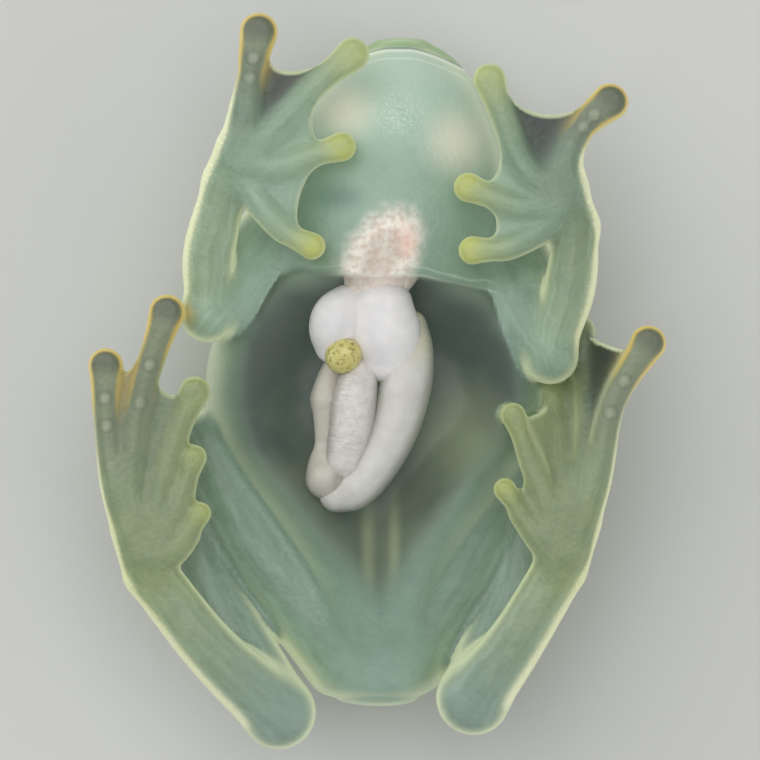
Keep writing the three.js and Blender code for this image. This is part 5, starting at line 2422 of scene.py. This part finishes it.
@dataclass(frozen=True)
class CavityFinish:
    """The lining: dark grey painted shade of the hollow, olive to the left, lighter at its rim as painted
    light against the shade of its steep wall, with the spine's pale streaks, and a painted glow of its own
    colour.
    """

    # Painted shade: the dark grey of the hollow
    dark: tuple = linear_rgb(66, 76, 70)
    olive: tuple = linear_rgb(124, 136, 108)
    spine: tuple = linear_rgb(166, 176, 142)
    # Painted light: the lighter rim, against the shade on the bowl's steep wall
    rim: tuple = linear_rgb(120, 138, 114)
    cloud_size: float = 1.8
    cloud_detail: float = 3.0
    cloud_strength: float = 0.7
    olive_spot: Mark = Mark((3.0, -1.9), (2.6, 2.6), 0.9)
    low_end: Ramp = Ramp(-1.0, -5.0, 0.35)
    right_of_axis: float = 0.4
    right_streak: Line = Line(0.0, 0.42)
    left_of_axis: float = 0.55
    left_streak: Line = Line(0.0, 0.36)
    streak_start: Ramp = Ramp(-3.6, -5.6)
    streak_strength: float = 0.5
    rim_edge: Ramp = Ramp(0.74, 1.0)
    roughness: float = 0.5
    # Painted glow: how strongly the lining emits its own colour
    glow: float = 0.22

    def material(self) -> Any:
        """Makes the material.

        Returns:
            The material.
        """
        shader = Shader("cavity")
        x, y, _ = shader.place_parts()
        cloud = shader.noise(self.cloud_size, detail=self.cloud_detail)
        olive = self.olive_spot.of(shader) + self.low_end.of(y) + cloud.swing(self.cloud_strength)
        colour = shader.blend(olive.least(1.0), self.dark, self.olive)
        right, left = self.right_streak.of(x + self.right_of_axis), self.left_streak.of(x - self.left_of_axis)
        streaks = right.most(left) * self.streak_start.of(y) * self.streak_strength
        colour = shader.blend(streaks, colour, self.spine)
        # Painted light at the rim, then the lining's emitted glow
        colour = shader.blend(self.rim_edge.of(shader.attribute("rim")), colour, self.rim)
        return shader.finish({
            "Base Color": colour, "Roughness": self.roughness,
            "Emission Color": colour, "Emission Strength": self.glow,
        })


@dataclass(frozen=True)
class Lobe:
    """A stretch of an organ: a curve, with its half width and half depth at even shares of the way."""

    path: tuple[Point, ...]
    side: tuple[float, ...]
    depth: tuple[float, ...] = ()

    STEPS = 24

    def tube(self) -> Tube:
        """Returns the lobe as a tube, round where it has no depth of its own."""
        return Tube(np.array(self.path), np.array(self.side), np.array(self.depth or self.side), self.STEPS)


@dataclass(frozen=True)
class Organ:
    """A soft organ made of lobes that flow into each other, and the node it stands for."""

    name: str
    lobes: tuple[Lobe, ...]
    blend: float = 0.15
    cell: float = 0.075

    MARGIN = 0.4

    def build(self) -> bpy.types.Object:
        """Builds the organ's surface, with the run and the offset across its first lobe on each vertex.

        Returns:
            The organ.
        """
        tubes = [lobe.tube() for lobe in self.lobes]
        lows, highs = zip(*(tube.reach() for tube in tubes))
        low, high = np.min(lows, axis=0) - self.MARGIN, np.max(highs, axis=0) + self.MARGIN
        space = DistanceField(low, high, self.cell)
        for tube in tubes:
            space.join(tube, self.blend)
        vertices, faces = space.skin()
        found = tubes[0].locate(vertices)
        numbers = {"along": found["run"], "across": found["across"]}
        made = add_mesh(self.name + "_form", vertices + OWN_SHIFT, faces, numbers)
        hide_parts(self.name)
        return made


@dataclass(frozen=True)
class OrganFinish:
    """A moist pale organ: its colours, its slow clouds, and its wrinkles, in rings or in all directions."""

    name: str
    light: tuple
    shade: tuple
    cloud: float = 0.8
    wrinkle: float = 0.2
    depth: float = 0.02
    ringed: bool = False
    speck: tuple | None = None
    end: tuple | None = None
    # Painted shade: the colour that an organ darkens to at its sides, where it meets its neighbours
    crease: tuple | None = None
    detail: float = 3.0
    contrast: float = 2.0
    middle: float = 0.5
    end_fade: Ramp = Ramp(1.9, 0.5)
    crease_edge: Ramp = Ramp(0.55, 1.0, 0.75)
    speck_size: float = 0.16
    speck_edge: Ramp = Ramp(0.5, 0.7)
    ring_stretch: float = 1.2
    roughness: float = 0.4

    def material(self) -> Any:
        """Makes the material.

        Returns:
            The material.
        """
        shader = Shader(self.name)
        clouds = shader.noise(self.cloud, detail=self.detail).swing(self.contrast) + self.middle
        colour = shader.blend(clouds, self.shade, self.light)
        along, across = shader.attribute("along"), shader.attribute("across")
        if self.end:
            colour = shader.blend(self.end_fade.of(along), colour, self.end)
        # Painted shade towards the organ's sides, in place of the creases between organs
        if self.crease:
            colour = shader.blend(self.crease_edge.of(across.absolute()), colour, self.crease)
        if self.speck:
            specks = self.speck_edge.of(shader.noise(self.speck_size, detail=self.detail))
            colour = shader.blend(specks, colour, self.speck)
        if self.ringed:
            rings = shader.vector(along * (1 / self.wrinkle), across * self.ring_stretch)
            fine = shader.noise(1.0, detail=self.detail, vector=rings)
        else:
            fine = shader.noise(self.wrinkle, detail=self.detail)
        relief = shader.bump(fine, self.depth)
        return shader.finish({"Base Color": colour, "Roughness": self.roughness, "Normal": relief})


# Stage


@dataclass(frozen=True)
class SoftLight:
    """A square light that faces the frog: its place and size in metres, and its power."""

    place: Point
    size: float
    power: float

    def build(self) -> None:
        """Adds the light to the scene."""
        data = bpy.data.lights.new("soft", "AREA")
        data.size = self.size
        data.energy = self.power
        light = bpy.data.objects.new("soft", data)
        light.location = self.place
        light.rotation_euler = Vector(-np.array(self.place)).to_track_quat("-Z", "Y").to_euler()
        bpy.context.scene.collection.objects.link(light)


@dataclass(frozen=True)
class Studio:
    """The floor, the lights and the camera, in metres; the sensor is in Blender's own millimetres."""

    floor_radius: float = 2.0
    floor_sides: int = 96
    floor_colour: tuple = (0.62, 0.62, 0.6, 1.0)
    floor_roughness: float = 0.7
    lights: tuple[SoftLight, ...] = (
        SoftLight((-0.03, 0.06, 0.22), 0.2, 0.23),
        SoftLight((-0.16, 0.1, 0.1), 0.16, 0.11),
        SoftLight((0.16, -0.08, 0.1), 0.16, 0.08),
    )
    sky_colour: tuple = (0.8, 0.82, 0.84, 1)
    sky_strength: float = 0.55
    height: float = 0.25
    plane: float = 0.006
    width: float = 0.02736
    sensor: float = 36.0
    nearest: float = 0.01
    aim: tuple[float, float] = (0.0001245, 0.0000247)

    def build(self) -> None:
        """Builds the floor, the soft lights, the sky and the camera."""
        self.floor()
        for light in self.lights:
            light.build()
        self.sky()
        self.camera()
        bpy.context.scene.view_settings.view_transform = "Standard"

    def floor(self) -> None:
        """Adds the plain pale floor."""
        radius, sides = self.floor_radius, self.floor_sides
        bpy.ops.mesh.primitive_circle_add(vertices=sides, radius=radius, fill_type="NGON", location=(0, 0, 0))
        floor = bpy.context.object
        floor.name = "floor"
        finish = {"Base Color": self.floor_colour, "Roughness": self.floor_roughness}
        floor.data.materials.append(Shader("floor").finish(finish))

    def sky(self) -> None:
        """Adds the even light from all round."""
        world = bpy.data.worlds.new("world")
        world.use_nodes = True
        background = world.node_tree.nodes["Background"]
        background.inputs["Color"].default_value = self.sky_colour
        background.inputs["Strength"].default_value = self.sky_strength
        bpy.context.scene.world = world

    def camera(self) -> None:
        """Adds the camera, straight above, with the width of the photo's frame at the plane of the belly."""
        data = bpy.data.cameras.new("camera")
        data.sensor_width = self.sensor
        data.lens = self.sensor * (self.height - self.plane) / self.width
        data.clip_start = self.nearest
        camera = bpy.data.objects.new("camera", data)
        camera.location = (*self.aim, self.height)
        bpy.context.scene.collection.objects.link(camera)
        bpy.context.scene.camera = camera


# Pieces


FLESH_NODES = ["head", "lower_jaw", "torso", "belly_skin"] + [
    f"{part}_{side}"
    for side in ("right", "left")
    for part in ("upper_arm", "forearm", "hand", "thigh", "shank", "tarsus", "foot")
]
ORGANS = (
    (Organ("stomach", (
        Lobe((
            (1.1, 1.9, 5.5), (1.15, 1.0, 5.75), (0.95, -0.2, 5.95), (0.52, -1.7, 6.0), (-0.12, -2.95, 6.0),
            (-0.85, -3.85, 5.95), (-1.5, -4.1, 5.9),
        ), (0.66, 0.82, 0.95, 0.92, 0.86, 0.78, 0.66)),
    )), "stomach"),
    (Organ("intestine", (
        Lobe(
            ((-0.72, 0.15, 6.1), (-0.9, -0.8, 6.35), (-1.02, -1.8, 6.35), (-1.25, -2.85, 6.25)),
            (0.7, 0.82, 0.8, 0.68),
        ),
    )), "gut"),
    (Organ("gut_coil", (
        Lobe(((-1.62, 0.4, 5.75), (-1.85, -0.1, 5.8), (-1.9, -0.7, 5.85)), (0.45, 0.46, 0.6)),
        Lobe(((-1.9, -0.7, 5.85), (-1.82, -1.6, 5.8), (-1.9, -2.4, 5.75)), (0.56, 0.52, 0.4)),
        Lobe(((-1.9, -2.4, 5.75), (-1.92, -3.0, 5.85), (-1.86, -3.5, 5.95)), (0.4, 0.62, 0.8)),
    ), blend=0.1), "coil"),
    (Organ("liver_small", (
        Lobe(
            ((-1.2, 2.75, 6.0), (-1.5, 2.3, 6.1), (-1.62, 1.85, 6.1), (-1.66, 1.25, 6.0)),
            (0.7, 0.9, 0.9, 0.66),
        ),
    )), "organ"),
    (Organ("liver_large", (
        Lobe(((-0.1, 2.8, 6.1), (0.35, 2.85, 6.1)), (0.75, 0.75)),
        Lobe(((0.12, 2.4, 6.15), (0.24, 1.7, 6.2), (0.34, 0.85, 6.1)), (1.1, 1.26, 0.98), (0.8, 0.86, 0.7)),
    ), blend=0.4), "organ"),
    (Organ("heart", (
        Lobe(
            ((0.5, 5.3, 5.75), (0.28, 4.75, 5.8), (0.02, 4.15, 5.85), (-0.2, 3.5, 5.85)),
            (1.3, 1.5, 1.4, 1.05), (0.85, 0.95, 0.95, 0.85),
        ),
        Lobe(((0.85, 4.6, 6.1), (0.6, 4.2, 6.1)), (0.7, 0.7)),
        Lobe(((-0.55, 4.5, 6.1), (-0.5, 4.0, 6.1)), (0.62, 0.62)),
    ), blend=0.12), "heart"),
    (Organ("gall_bladder", (
        Lobe(((-1.32, 0.86, 6.62), (-1.24, 0.92, 6.62)), (0.62, 0.62)),
    )), "gall_bladder"),
)
ORGAN_FINISHES = {
    "organ": OrganFinish("organ", light=linear_rgb(246, 242, 240), shade=linear_rgb(224, 219, 222)),
    "stomach": OrganFinish(
        "stomach", light=linear_rgb(224, 221, 214), shade=linear_rgb(202, 198, 190),
        end=linear_rgb(212, 206, 180), crease=linear_rgb(160, 160, 148),
    ),
    "coil": OrganFinish(
        "coil", light=linear_rgb(216, 209, 198), shade=linear_rgb(190, 183, 170),
        crease=linear_rgb(156, 154, 142),
    ),
    "gut": OrganFinish(
        "gut", light=linear_rgb(236, 230, 225), shade=linear_rgb(206, 200, 195),
        crease=linear_rgb(168, 164, 154), cloud=0.3, depth=0.1, ringed=True,
    ),
    "heart": OrganFinish(
        "heart", light=linear_rgb(246, 238, 226), shade=linear_rgb(216, 192, 178), cloud=0.26, depth=0.08,
    ),
    "gall_bladder": OrganFinish(
        "gall", light=linear_rgb(226, 218, 146), shade=linear_rgb(200, 188, 96),
        speck=linear_rgb(158, 136, 66), cloud=0.3,
    ),
}


def report(made: bpy.types.Object) -> None:
    """Logs one finished piece."""
    LOG.info("%s: %d vertices, %d faces", made.name, len(made.data.vertices), len(made.data.polygons))


def main() -> None:
    """Builds all pieces in order and reports each."""
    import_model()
    trunk = Trunk()
    skin = Skin(trunk).build()
    skin.data.materials.append(SkinFinish().material())
    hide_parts(*FLESH_NODES)
    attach(skin, ROOT_BODY)
    report(skin)
    lining = Cavity(trunk).build()
    lining.data.materials.append(CavityFinish().material())
    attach(lining, ROOT_BODY)
    report(lining)
    materials = {name: finish.material() for name, finish in ORGAN_FINISHES.items()}
    for organ, finish_name in ORGANS:
        made = organ.build()
        made.data.materials.append(materials[finish_name])
        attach(made, ROOT_BODY)
        report(made)
    wet = EyeFinish().material()
    for seat in EYES:
        ball = Eye(seat, f"eye_{seat.side.name.lower()}").build()
        ball.data.materials.append(wet)
        report(ball)
    Studio().build()
    LOG.info("floor, lights and camera set")


if __name__ == "__main__":
    main()
